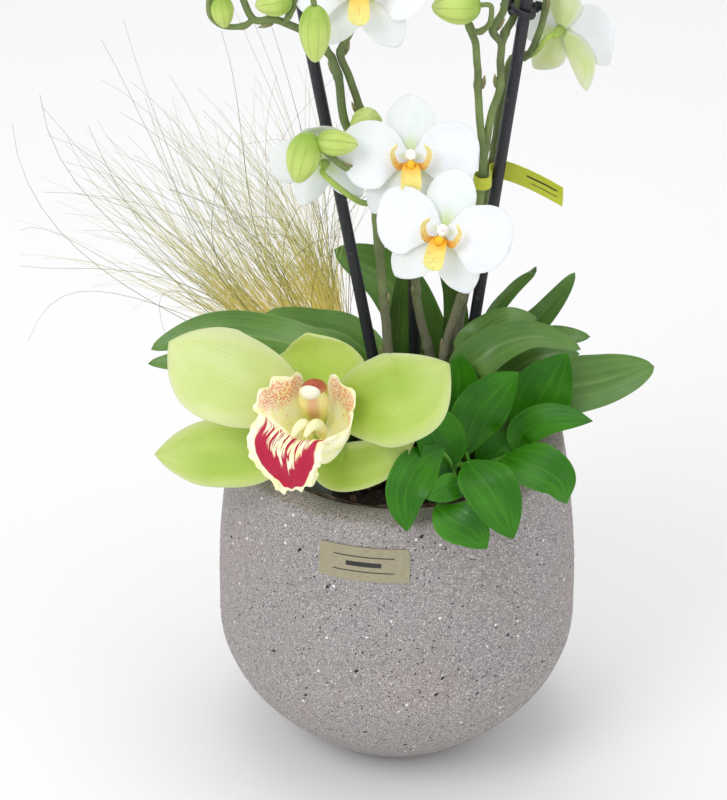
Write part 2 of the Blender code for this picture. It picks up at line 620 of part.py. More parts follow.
SPIKES = (
    Spike(
        "spike_left",
        (
            (((-1, -3, SEAT), (-2, -1, 30), (-4, 3, 60), (-8, -2, 110), (-11, -6, 148), (-16, -4, 160),
              (-23, -4, 174), (-25, -5, 192), (-28, -6, 203)), SPIKE_RADIUS),
            (((-28, -6, 203), (-35, -10, 213), (-44, -12, 219), (-51, -13, 222), (-59, -13, 222),
              (-63, -13, 232), (-69, -13, 244)), BRANCH_RADIUS),
            (((-11, -6, 146), (-14, -2, 165), (-17, -2, 180), (-21, -3, 193), (-24, -5, 204), (-19, -6, 217),
              (-19, -2, 230), (-22, 4, 243), (-30, 8, 258), (-38, 6, 274), (-44, 4, 290), (-46, 2, 306)), BRANCH_RADIUS),
            (((-11, -6, 144), (-13.4, -20, 155.6), (-24, -31, 167), (-34, -34, 178)), BRANCH_RADIUS),
            (((-59, -13, 222), (-63, -15, 220), (-71, -17, 221), (-76, -18, 226), (-76, -18, 233), (-70, -17, 235)),
             STALK_RADIUS),
            (((-47, -13, 220), (-43, -15, 227), (-42, -16, 233)), STALK_RADIUS),
            (((-17, -3, 163), (-15, -1, 166), (-14, -1, 169)), STALK_RADIUS),
            (((-37, 6, 272), (-37, -10, 270), (-37, -27, 262), (-36, -34, 248), (-34, -34, 236)), STALK_RADIUS),
        ),
        {
            "orchid_flower_turned": ((-10, -7, 138), (-15, -18, 143), (-21, -27, 151)),
            "orchid_flower_left": ((-23, -5, 208), (-23, -8, 220), (-20, -4, 228)),
            "orchid_flower_top_left": ((-44, 4, 288), (-48, -6, 290)),
        },
        (
            ((-34, -34, 237), (-34, -35, 213), 6.6),
            ((-43, -16, 232), (-58, -16, 229), 6.0),
            ((-72, -17, 234), (-70, -17, 220), 5.0),
            ((-36.5, -34, 182), (-42, -34, 160), 7.4),
            ((-34, -34, 178.5), (-17, -36, 178), 5.6),
            ((-14, -1, 168), (-12.5, -15.5, 180.5), 7.0),
            ((-69, -13, 242), (-76, -14, 255), 4.4),
            ((-46, 2, 304), (-50, 0, 320), 4.6),
        ),
    ),
    Spike(
        "spike_centre",
        (
            (((17, 13, SEAT), (16, 13, 30), (14, 12, 54), (9, 12, 76), (7, 10, 97), (6, 6, 116), (5, 2, 140)),
             SPIKE_RADIUS),
        ),
        {
            "orchid_flower_middle": ((5, 2, 138), (5, -8, 157), (4, -17, 163)),
            "orchid_flower_lower": ((6, 6, 116), (11, -12, 130), (15, -30, 140)),
        },
        (),
    ),
    Spike(
        "spike_right",
        (
            (((16, 2, SEAT), (17, 3, 30), (22, 6, 67), (31, 4, 102), (34, 2, 139), (35, 2, 156)), SPIKE_RADIUS),
            (((35, 2, 154), (33, 2, 173), (32, 2, 185), (31, 0, 203), (28, -2, 213), (22, 2, 226), (18, 6, 244),
              (12, 8, 262)), BRANCH_RADIUS),
            (((35, 2, 154), (38, 4, 173), (41, 4, 184), (41, 3, 196), (41, 2, 205), (37, 0, 212), (41, 0, 221),
              (42, 1, 232), (39, 5, 250), (32, 7, 270), (27, 7, 290), (25, 5, 306)), BRANCH_RADIUS),
            (((41, 2, 205), (43, 6, 209), (46.5, 12, 213), (49, 17, 222), (50, 22, 236), (48, 28, 246)),
             BRANCH_RADIUS),
            (((28, -2, 213), (32, -4, 213), (36, -6, 218), (36, -9, 226), (31, -10, 227)), STALK_RADIUS),
        ),
        {"orchid_flower_top": ((31, 7, 274), (22, -2, 278))},
        (
            ((32, -10, 226.5), (12, -10, 226), 7.6),
            ((12, 8, 260), (9, 6, 276), 5.0),
            ((48, 28, 244), (47, 32, 260), 5.0),
            ((25, 5, 304), (22, 2, 320), 4.4),
        ),
    ),
    Spike(
        "spike_back",
        (
            (((23, 24, SEAT), (24, 24, 30), (28, 21, 70), (34, 18, 103), (38, 16, 137), (40, 15, 156), (45, 15, 191),
              (52, 14, 194), (56, 12, 204), (58.5, 10, 215), (60, 9, 230), (63, 10, 250), (66, 12, 272),
              (71, 12, 290)), BRANCH_RADIUS),
        ),
        {
            "orchid_flower_side": ((51, 15, 193), (56, 13, 197)),
            "orchid_flower_top_right": ((64, 11, 258), (66, 2, 264)),
        },
        (
            ((71, 12, 288), (75, 10, 303), 4.8),
            ((63, 10, 250), (69, 24, 262), 4.8),
        ),
    ),
)


def flower_mesh(material):
    """Return the one mesh that every moth orchid flower shares, with its middle at the origin."""
    hub = np.array([(0.0, 0.0, z) for z in MOTH_HUB_LEVELS])
    pieces = [tube_mesh(hub, MOTH_HUB_RADII)]
    pieces += [part.mesh() for part in MOTH_PARTS]
    whole = fuse("flower_pattern", pieces, material)
    mesh = whole.data
    bpy.data.objects.remove(whole, do_unlink=True)
    return mesh


def make_bloom(petal, lip, stem):
    """Make the cymbidium: five petals and sepals, lip, column, and the cut stem with its round top."""
    middle = np.array(BLOOM_HUB)
    for blade in BLOOM:
        ahead = unit(np.subtract(blade.spine[0], middle))
        base = middle + ahead * (BLOOM_HUB_RADIUS + GAP)
        replace(blade, spine=(tuple(base), *blade.spine[1:]), thickness=PETAL_THICKNESS).build(petal)
    make_lip(lip, middle)
    root = middle + unit((-0.3, -4.7, 2.2)) * (BLOOM_HUB_RADIUS + COLUMN_CLEARANCE)
    column = smooth_path((root, middle + (-1, -9, 8), middle + (-2, -14, 17)), 5)
    add_object("cymbidium_column", *tube_mesh(column, COLUMN_RADII, 8), lip, planted())
    foot = (*TUBE_FOOT, TUBE_TOP - CUT_STEM_DEPTH)
    mouth = (*TUBE_FOOT, TUBE_TOP)
    path = (foot, mouth, *smooth_path((mouth + np.array((0, 0, 3)), middle + (-0.4, 9, -12), middle), 7))
    share = np.linspace(-1.0, 1.0, 7)
    ball = middle + share[:, None] * (0.0, -BLOOM_HUB_RADIUS, 0.0)
    girth = BLOOM_HUB_RADIUS * np.sqrt(np.maximum(1.0 - share**2, 0.02))
    pieces = [tube_mesh(path, SPIKE_RADIUS, 8), tube_mesh(ball, girth, 10)]
    fuse("cymbidium_stem", pieces, stem, planted())


def make_lip(material, middle):
    """Make the lip: a trough with upright sides that runs out to a drooping front lobe."""
    root = middle + unit((-0.5, -5.3, -3.1)) * (BLOOM_HUB_RADIUS + LIP_CLEARANCE)
    middle_line = np.array([root] + [row[0] for row in LIP_ROWS])
    tangent = unit(np.gradient(middle_line, axis=0))
    normal = unit(LIP_UP - tangent * (tangent @ LIP_UP)[:, None])
    side = np.cross(tangent, normal)
    v = np.linspace(-1.0, 1.0, 9)
    half, bend = np.array([LIP_ROOT] + [row[1:] for row in LIP_ROWS]).T[..., None]
    points = []
    for lift in (-0.5, 0.5):
        radius = half / bend
        across = (radius - lift * PETAL_THICKNESS) * np.sin(v * bend)
        height = radius - (radius - lift * PETAL_THICKNESS) * np.cos(v * bend)
        grid = middle_line[:, None] + across[..., None] * side[:, None] + height[..., None] * normal[:, None]
        points += [planted(point) for point in grid.reshape(-1, 3)]
    slab("cymbidium_lip", points, len(middle_line), len(v), material)


def make_flower_tube(material):
    """Make the water vial: a closed-bottomed tube whose collar leaves room for the stem."""
    foot = planted((*TUBE_FOOT, 0.0))

    def upright(heights, radius):
        return tube_mesh([foot + (0, 0, height) for height in heights], radius, TUBE_SIDES)

    bore = upright((TUBE_WALL - TUBE_DEPTH, TUBE_TOP - TUBE_COLLAR), TUBE_RADIUS - TUBE_WALL)
    mouth = upright((TUBE_TOP - TUBE_COLLAR - CUT_THROUGH, TUBE_TOP + CUT_THROUGH), SPIKE_RADIUS + GAP)
    vial = add_object("flower_tube", *upright((-TUBE_DEPTH, 0.0, TUBE_TOP), TUBE_RADIUS), material)
    for index, cutter in enumerate((bore, mouth)):
        guide = hide_guide(add_object(f"flower_tube_bore_{index}", *cutter, None))
        cut = vial.modifiers.new(guide.name, "BOOLEAN")
        cut.operation = "DIFFERENCE"
        cut.object = guide
    socket = upright((-TUBE_DEPTH - GAP, SEAT + CUT_ABOVE_SOIL), TUBE_RADIUS + GAP)
    return hide_guide(add_object("flower_tube_hole", *socket, None))


def make_twigs(material):
    """Make one solid for each ruscus shoot that stands in the soil; each of its twigs ends at its leaf."""
    leaves = {leaf.name: np.array(leaf.spine[:2], float) for leaf in RUSCUS_LEAVES}
    for shoot, twigs in TWIGS.items():
        pieces = []
        for points, name in twigs:
            base, ahead = leaves[name]
            end = base - unit(ahead - base) * (GAP + TWIG_END * TWIG_RADIUS)
            pieces.append(tube_mesh(smooth_path((*points, end), len(points) + 2), TWIG_RADIUS))
        fuse(shoot, pieces, material, planted())


BRUSH_LINE = ((-20, 34, SEAT), (-20, 34, 5), (-24, 39, 30), (-36, 45, 60), (-50, 47, 92), (-64, 47, 126))
BRUSH_RADII = (7.0, 7.0, 8.5, 10.0, 12.0, 14.5, 15.0, 12.0, 5.0)
WISP_ROOT = np.array((-36.0, 45.0, 60.0))
WISP_SPREAD = np.array((0.05, 0.05, 0.0))
WISP_KNEE = np.array((0.4, 0.45, 0.62))
WISP_ARCH = 14.0
WISP_RADII = (1.6, 1.4, 1.2, 1.0, 0.6)
WISP_TIPS = (
    (-167, 20, 132), (-159, 40, 199), (-135, 40, 205), (-108, 44, 212), (-147, 20, 125), (-156, 10, 68),
    (-95, 50, 190), (-61, 52, 191), (-46, 60, 186), (-30, 78, 150), (-90, 78, 150), (26, 40, 179),
)


def make_grass(material):
    """Make the grass tuft: a dense brush and the longest wisps that leave it."""
    points, faces = tube_mesh(smooth_path(BRUSH_LINE, len(BRUSH_RADII)), BRUSH_RADII, 7)
    points[:, 2] = np.maximum(points[:, 2], SEAT)
    pieces = [(points, faces)]
    for tip in np.array(WISP_TIPS, float):
        root = WISP_ROOT + WISP_SPREAD * (tip - WISP_ROOT)
        knee = root + WISP_KNEE * (tip - root) + (0.0, 0.0, WISP_ARCH)
        pieces.append(tube_mesh(smooth_path((root, knee, tip), len(WISP_RADII)), WISP_RADII, 4))
    return fuse("grass_tuft", pieces, material, planted())


# Each clip's name, its stake, and the point of the stem that it ties to the stake.
CLIPS = (
    ("clip_left", 0, (-41.5, 5.0, 282.0)),
    ("clip_centre", 1, (6.8, 9.0, 101.0)),
    ("clip_right", 2, (48.0, 14.5, 217.0)),
)


def make_clip(name, stake, stem_point, material):
    """Make a plant clip: an oval ring round a stake and a stem, with two finger wings."""
    stick = stake.at(stem_point[2])
    other = planted(stem_point)
    middle = 0.5 * (stick + other)
    reach = unit(other - stick)
    across = unit(np.cross((0.0, 0.0, 1.0), reach))
    room = STAKE_RADIUS + CLIP_SPARE + CLIP_RADIUS
    angle = np.linspace(0.0, 2 * np.pi, 2 * CLIP_SIDES, endpoint=False)
    length = 0.5 * np.linalg.norm(other - stick) + room
    squeeze = room + CLIP_SLACK
    ring = middle + length * np.cos(angle)[:, None] * reach + squeeze * np.sin(angle)[:, None] * across
    turn = np.linspace(0.0, 2 * np.pi, CLIP_SIDES, endpoint=False)
    outward = unit(ring - middle)
    points = ring[:, None] + CLIP_RADIUS * (
        np.cos(turn)[None, :, None] * outward[:, None] + np.sin(turn)[None, :, None] * np.array((0.0, 0.0, 1.0)))
    faces = grid_faces(len(angle), CLIP_SIDES)
    last = (len(angle) - 1) * CLIP_SIDES
    faces += [(last + j, last + (j + 1) % CLIP_SIDES, (j + 1) % CLIP_SIDES, j) for j in range(CLIP_SIDES)]
    pieces = [(points.reshape(-1, 3), faces)]
    for sign in (-1.0, 1.0):
        root = middle + squeeze * sign * across
        reach_out = sign * CLIP_WING_REACH * across + (0.0, 0.0, CLIP_WING_RISE)
        wing = [root + share * reach_out for share in (0.0, 0.5, 1.0)]
        pieces.append(tube_mesh(wing, CLIP_WING_RADII, CLIP_SIDES))
    return fuse(name, pieces, material)


def make_tag(material):
    """Make the care tag: a strip that wraps the right spike and runs out behind the right stake."""
    middle = smooth_path([(x, y, 0.0) for x, y in TAG_LINE], 2 * len(TAG_LINE))
    side = unit(np.cross(unit(np.gradient(middle, axis=0)), (0.0, 0.0, 1.0)))
    fall = np.interp(middle[:, 0], (TAG_LINE[6][0], TAG_LINE[-1][0]), (TAG_START, TAG_END))
    points = []
    for lift in (-0.5, 0.5):
        for height in (-0.5, 0.5):
            row = middle + lift * TAG_THICKNESS * side
            row[:, 2] = fall + height * TAG_HEIGHT + PLANT_LEVEL
            points += [tuple(point) for point in row]
    return slab("care_tag", points, 2, len(middle), material)


def main():
    """Build every piece."""
    clear_scene()
    stone = finish("stone_composite", (0.33, 0.31, 0.30), 0.75)
    film = finish("film", (0.25, 0.18, 0.12), 0.3)
    earth = finish("soil", (0.05, 0.035, 0.025), 0.95)
    sticker = finish("sticker", (0.46, 0.42, 0.31), 0.35, 0.8)
    black = finish("black_plastic", (0.012, 0.012, 0.018), 0.4)
    lime = finish("lime_card", (0.55, 0.65, 0.05), 0.5)
    clear = finish("clear_plastic", (0.8, 0.82, 0.82), 0.15)
    strap = finish("strap_leaf", (0.12, 0.25, 0.07), 0.4)
    ruscus = finish("ruscus_leaf", (0.05, 0.2, 0.02), 0.35)
    stem = finish("orchid_stem", (0.17, 0.22, 0.11), 0.5)
    white = finish("white_petal", (0.87, 0.9, 0.93), 0.5)
    green = finish("green_petal", (0.55, 0.7, 0.2), 0.45)
    lip = finish("lip", (0.75, 0.3, 0.3), 0.45)
    straw = finish("grass", (0.5, 0.5, 0.2), 0.7)

    make_pot(stone)
    make_liner(film)
    holes = [stake.hole() for stake in STAKES]
    holes.append(make_flower_tube(clear))
    make_soil(earth, holes)
    make_label(sticker)
    for stake in STAKES:
        stake.build(black)
    for leaf in STRAP_LEAVES:
        leaf.build(strap)
    for leaf in RUSCUS_LEAVES:
        replace(leaf, thickness=RUSCUS_THICKNESS, rows=6, columns=2).build(ruscus)
    make_twigs(ruscus)
    make_bloom(green, lip, green)
    for spike in SPIKES:
        spike.build(stem)
    pattern = flower_mesh(white)
    for flower in FLOWERS.values():
        flower.build(pattern)
    for name, stake, stem_point in CLIPS:
        make_clip(name, STAKES[stake], stem_point, black)
    make_tag(lime)
    make_grass(straw)


main()
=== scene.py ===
"""Looks of the potted orchid: moth orchids, a cut cymbidium, ruscus and feather grass in a stone-look pot.

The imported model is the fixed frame. Sizes are in millimetres, and points of the plants are (x, y, height above
the planting level), as in the part; meshes are made in metres, in the frame's own axes.
"""
import logging
from dataclasses import dataclass, replace
from enum import Enum
from typing import Optional, Sequence, Union

import bmesh
import bpy
import numpy as np
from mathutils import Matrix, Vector


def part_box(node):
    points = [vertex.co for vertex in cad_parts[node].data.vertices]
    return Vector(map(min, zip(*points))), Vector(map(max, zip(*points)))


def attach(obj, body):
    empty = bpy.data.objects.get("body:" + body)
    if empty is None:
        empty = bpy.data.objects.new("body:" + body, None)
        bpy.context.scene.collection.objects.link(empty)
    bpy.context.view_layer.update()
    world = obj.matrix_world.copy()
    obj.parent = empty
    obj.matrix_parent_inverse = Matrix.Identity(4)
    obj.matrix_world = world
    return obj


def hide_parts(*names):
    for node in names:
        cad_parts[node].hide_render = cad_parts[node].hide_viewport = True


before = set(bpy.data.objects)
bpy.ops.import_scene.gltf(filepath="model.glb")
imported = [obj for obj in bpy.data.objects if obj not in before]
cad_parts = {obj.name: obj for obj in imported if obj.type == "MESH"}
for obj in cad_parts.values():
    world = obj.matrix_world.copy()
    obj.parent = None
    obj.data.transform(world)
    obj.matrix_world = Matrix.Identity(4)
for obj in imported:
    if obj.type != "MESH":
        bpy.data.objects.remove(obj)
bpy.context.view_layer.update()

Array = np.ndarray
Point = tuple[float, float, float]
Colour = tuple[float, float, float]
Material = bpy.types.Material
Object = bpy.types.Object
LOG = logging.getLogger("orchid")
MM = 0.001
BODY = "root"
POT_HEIGHT = 1000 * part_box("pot")[1].z
POT_RADIUS = 1000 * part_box("pot")[1].x
SOIL_TOP = 1000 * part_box("soil")[1].z
PLANTING_DEPTH = 23.0
LEVEL = np.array((0.0, 0.0, POT_HEIGHT - PLANTING_DEPTH))


# ---------------- shapes

def limit(value: Array) -> Array:
    """Return values held between 0 and 1."""
    return np.clip(value, 0.0, 1.0)


def shares(count: int) -> Array:
    """Return so many even shares from 0 to 1."""
    return np.linspace(0.0, 1.0, count)


def angles(count: int) -> Array:
    """Return so many even angles round a circle."""
    return np.linspace(0.0, 2 * np.pi, count, endpoint=False)


def unit(vector: Array) -> Array:
    """Return vectors at length one, along the last axis."""
    vector = np.asarray(vector, float)
    return vector / np.maximum(np.linalg.norm(vector, axis=-1, keepdims=True), 1e-12)


def spline(knots: Array, count: int) -> Array:
    """Return points on the Catmull-Rom curve through knots, evenly spaced by length along axis 0.

    Args:
        knots: An array whose first axis runs along the curve.
        count: How many points to return.

    Returns:
        An array of count rows. Each span is the cubic through its two knots whose slope there is half the
        chord between their neighbours.
    """
    knots = np.asarray(knots, float)
    ends = np.concatenate([2 * knots[:1] - knots[1:2], knots, 2 * knots[-1:] - knots[-2:-1]])
    fine = np.linspace(0.0, len(knots) - 1.0, 24 * len(knots))
    span = np.minimum(fine.astype(int), len(knots) - 2)
    t = (fine - span).reshape(-1, *[1] * (knots.ndim - 1))
    a, b, c, d = (ends[span + step] for step in range(4))
    curve = 0.5 * (2 * b + (c - a) * t + (2 * a - 5 * b + 4 * c - d) * t**2 + (3 * b - 3 * c + d - a) * t**3)
    steps = np.linalg.norm(np.diff(curve, axis=0), axis=-1)
    steps = steps.reshape(len(steps), -1).mean(axis=1)
    length = np.concatenate([[0.0], np.cumsum(steps)])
    at = np.interp(np.linspace(0.0, length[-1], count), length, np.arange(len(length)))
    low = np.minimum(at.astype(int), len(length) - 2)
    share = (at - low).reshape(-1, *[1] * (knots.ndim - 1))
    return curve[low] * (1 - share) + curve[low + 1] * share


def loft(net: Array, rows: int, columns: int) -> Array:
    """Return a surface through a net of points, by the same spline along its rows and then across them."""
    along = spline(np.asarray(net, float), rows)
    return spline(along.transpose(1, 0, 2), columns).transpose(1, 0, 2)


def swell(where: Array, seed: int, octaves: int = 3) -> Array:
    """Return smooth noise near -1 to 1: sine waves in random directions, finer and weaker each octave.

    Args:
        where: Places in any number of dimensions, along the last axis.
        seed: Which noise it is.
        octaves: How many times waves are added.

    Returns:
        One number for each place.
    """
    rng = np.random.default_rng(seed)
    where = np.asarray(where, float)
    total = np.zeros(where.shape[:-1])
    for octave in range(octaves):
        waves = rng.normal(size=(7, where.shape[-1])) * 2.0**octave
        phase = rng.uniform(0.0, 2 * np.pi, 7)
        total += 0.6**octave * np.sin(where @ waves.T + phase).sum(axis=-1) / 3.5
    return total


def frames(path: Array) -> tuple[Array, Array, Array]:
    """Return a path's tangent, normal and side.

    Args:
        path: Its points.

    Returns:
        Unit vectors at each point; the normal stays square to the direction in which the path is flattest.
    """
    tangent = unit(np.gradient(path, axis=0))
    flat = np.linalg.svd(path - path.mean(axis=0))[2][2]
    side = unit(flat - tangent * (tangent @ flat)[:, None])
    return tangent, np.cross(side, tangent), side


def sweep(path: Array, radius: Union[float, Array], sides: int = 12, flat: float = 1.0) -> Array:
    """Return a tube's grid: circles or ovals, square to the path.

    Args:
        path: The points of its middle.
        radius: One radius, or one at each point.
        sides: How many columns go round.
        flat: How wide an oval is to the side, as a share of its radius.

    Returns:
        A grid with a row for each point.
    """
    path = np.asarray(path, float)
    _, normal, side = frames(path)
    angle = angles(sides)
    radius = np.broadcast_to(radius, len(path))[:, None, None]
    across, up = flat * np.sin(angle)[None, :, None], np.cos(angle)[None, :, None]
    return path[:, None] + radius * (up * normal[:, None] + across * side[:, None])


def lathe(profile: Array, sides: int) -> Array:
    """Return the grid of a profile of (radius, height) turned about Z."""
    circle = np.stack([np.cos(angles(sides)), np.sin(angles(sides)), np.zeros(sides)], axis=-1)
    return profile[:, :1, None] * circle[None] + profile[:, 1:, None] * np.array((0.0, 0.0, 1.0))


def closed_ends(grid: Array) -> Array:
    """Return the grid with a pole at each end, at the middle of its first and last ring."""
    first = np.repeat(grid[:1].mean(axis=1, keepdims=True), grid.shape[1], axis=1)
    last = np.repeat(grid[-1:].mean(axis=1, keepdims=True), grid.shape[1], axis=1)
    return np.concatenate([first, grid, last])


def egg(centre: Array, axis: Array, size: Point, out: Array, rows: int = 14, columns: int = 18) -> Array:
    """Return an ellipsoid's grid.

    Args:
        centre: Its middle.
        axis: The way from its first pole to its last.
        size: Half its length along the axis, along out and square to both.
        out: Where its first column lies.
        rows: Rows from pole to pole.
        columns: Columns round it.

    Returns:
        The grid, with a pole in its first and its last row.
    """
    axis = unit(axis)
    out = unit(np.asarray(out, float) - axis * np.dot(out, axis))
    side = np.cross(axis, out)
    u = np.linspace(0.0, np.pi, rows)[:, None, None]
    v = angles(columns)[None, :, None]
    return (np.asarray(centre, float) - size[0] * np.cos(u) * axis
            + np.sin(u) * (size[1] * np.cos(v) * out + size[2] * np.sin(v) * side))


class Sculpture:
    """Grids of points gathered into one mesh, each with its own material."""

    def __init__(self, name: str) -> None:
        """Start an empty piece of that name."""
        self.name = name
        self.points: list[Array] = []
        self.faces: list[Array] = []
        self.surface: list[Array] = []
        self.slots: list[Array] = []
        self.count = 0

    def add(self, grid: Array, slot: int = 0, around: bool = False, along: Optional[Array] = None,
            across: Optional[Array] = None) -> "Sculpture":
        """Add a grid of points as quads.

        Args:
            grid: Rows x columns x 3, in millimetres.
            slot: Which of the piece's materials it takes.
            around: Whether the last column joins the first.
            along: Each row's place on the surface map, 0 to 1 by default.
            across: Each column's place; round a tube it runs up and down again, so that it has no seam.

        Returns:
            The piece itself.
        """
        rows, columns = grid.shape[:2]
        index = np.arange(rows * columns).reshape(rows, columns) + self.count
        right = np.roll(index, -1, axis=1) if around else index[:, 1:]
        left = index if around else index[:, :-1]
        quads = np.stack([left[:-1], right[:-1], right[1:], left[1:]], axis=-1).reshape(-1, 4)
        along = shares(rows) if along is None else along
        if across is None:
            turn = np.arange(columns) / columns
            across = np.abs(2 * turn - 1) if around else shares(columns)
        chart = np.stack(np.broadcast_arrays(along[:, None], across[None, :]), axis=-1)
        self.points.append(grid.reshape(-1, 3))
        self.surface.append(chart.reshape(-1, 2))
        self.faces.append(quads)
        self.slots.append(np.full(len(quads), slot))
        self.count += rows * columns
        return self

    def build(self, materials: Sequence[Material], nodes: Sequence[str], slot: str,
              sharp: float = 50.0) -> Object:
        """Make the object, join its seams and poles, and let it stand for its CAD nodes.

        Args:
            materials: The piece's materials, by slot.
            nodes: The CAD nodes that it replaces.
            slot: Not used.
            sharp: The edge angle in degrees past which shading breaks.

        Returns:
            The object, at the origin, with its place in its mesh.
        """
        mesh = bpy.data.meshes.new(self.name)
        faces = np.concatenate(self.faces)
        mesh.from_pydata(np.concatenate(self.points) * MM, [], faces)
        chart = mesh.uv_layers.new(name="surface")
        corners = np.concatenate(self.surface)[faces.reshape(-1)]
        chart.data.foreach_set("uv", corners.astype(np.float32).reshape(-1))
        mesh.polygons.foreach_set("material_index", np.concatenate(self.slots).astype(np.int32))
        shell = bmesh.new()
        shell.from_mesh(mesh)
        bmesh.ops.remove_doubles(shell, verts=shell.verts, dist=1e-6)
        bmesh.ops.recalc_face_normals(shell, faces=shell.faces)
        shell.to_mesh(mesh)
        shell.free()
        for material in materials:
            mesh.materials.append(material)
        mesh.shade_smooth()
        mesh.set_sharp_from_angle(angle=np.radians(sharp))
        item = bpy.data.objects.new(self.name, mesh)
        bpy.context.scene.collection.objects.link(item)
        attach(item, BODY)
        if nodes:
            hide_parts(*nodes)
        LOG.info("%s: %d faces, for %s", self.name, len(mesh.polygons), ", ".join(nodes) or "no node")
        return item


# ---------------- shader maths

Value = Union["Wire", float]
Paint = Union["Wire", Colour]


class Wire:
    """A shader value that takes part in Python expressions; each operator adds its Math node."""

    def __init__(self, look: "Look", socket: bpy.types.NodeSocket) -> None:
        """Hold a node's output socket."""
        self.look = look
        self.socket = socket

    def calc(self, operation: str, *values: Value) -> "Wire":
        """Return one Math node's result on these values, in this order."""
        return self.look.node("ShaderNodeMath", {"operation": operation}, dict(enumerate(values)))

    def __add__(self, other: Value) -> "Wire":
        """Return the sum."""
        return self.calc("ADD", self, other)

    def __sub__(self, other: Value) -> "Wire":
        """Return the difference."""
        return self.calc("SUBTRACT", self, other)

    def __rsub__(self, other: float) -> "Wire":
        """Return a number less this value."""
        return self.calc("SUBTRACT", other, self)

    def __mul__(self, other: Value) -> "Wire":
        """Return the product."""
        return self.calc("MULTIPLY", self, other)

    def __abs__(self) -> "Wire":
        """Return the value without its sign."""
        return self.calc("ABSOLUTE", self)

    def __pow__(self, power: float) -> "Wire":
        """Return the value to a power."""
        return self.calc("POWER", self, power)

    __radd__ = __add__
    __rmul__ = __mul__

    def sine(self) -> "Wire":
        """Return the sine."""
        return self.calc("SINE", self)

    def most(self, other: Value) -> "Wire":
        """Return the larger of two values."""
        return self.calc("MAXIMUM", self, other)

    def between(self, low: float, high: float) -> "Wire":
        """Return a smooth step: 0 up to low and 1 from high, or the other way round where high is lower."""
        limits = {"Value": self, "From Min": low, "From Max": high}
        if high < low:
            limits = {"Value": self, "From Min": high, "From Max": low, "To Min": 1.0, "To Max": 0.0}
        return self.look.node("ShaderNodeMapRange", {"interpolation_type": "SMOOTHSTEP"}, limits)


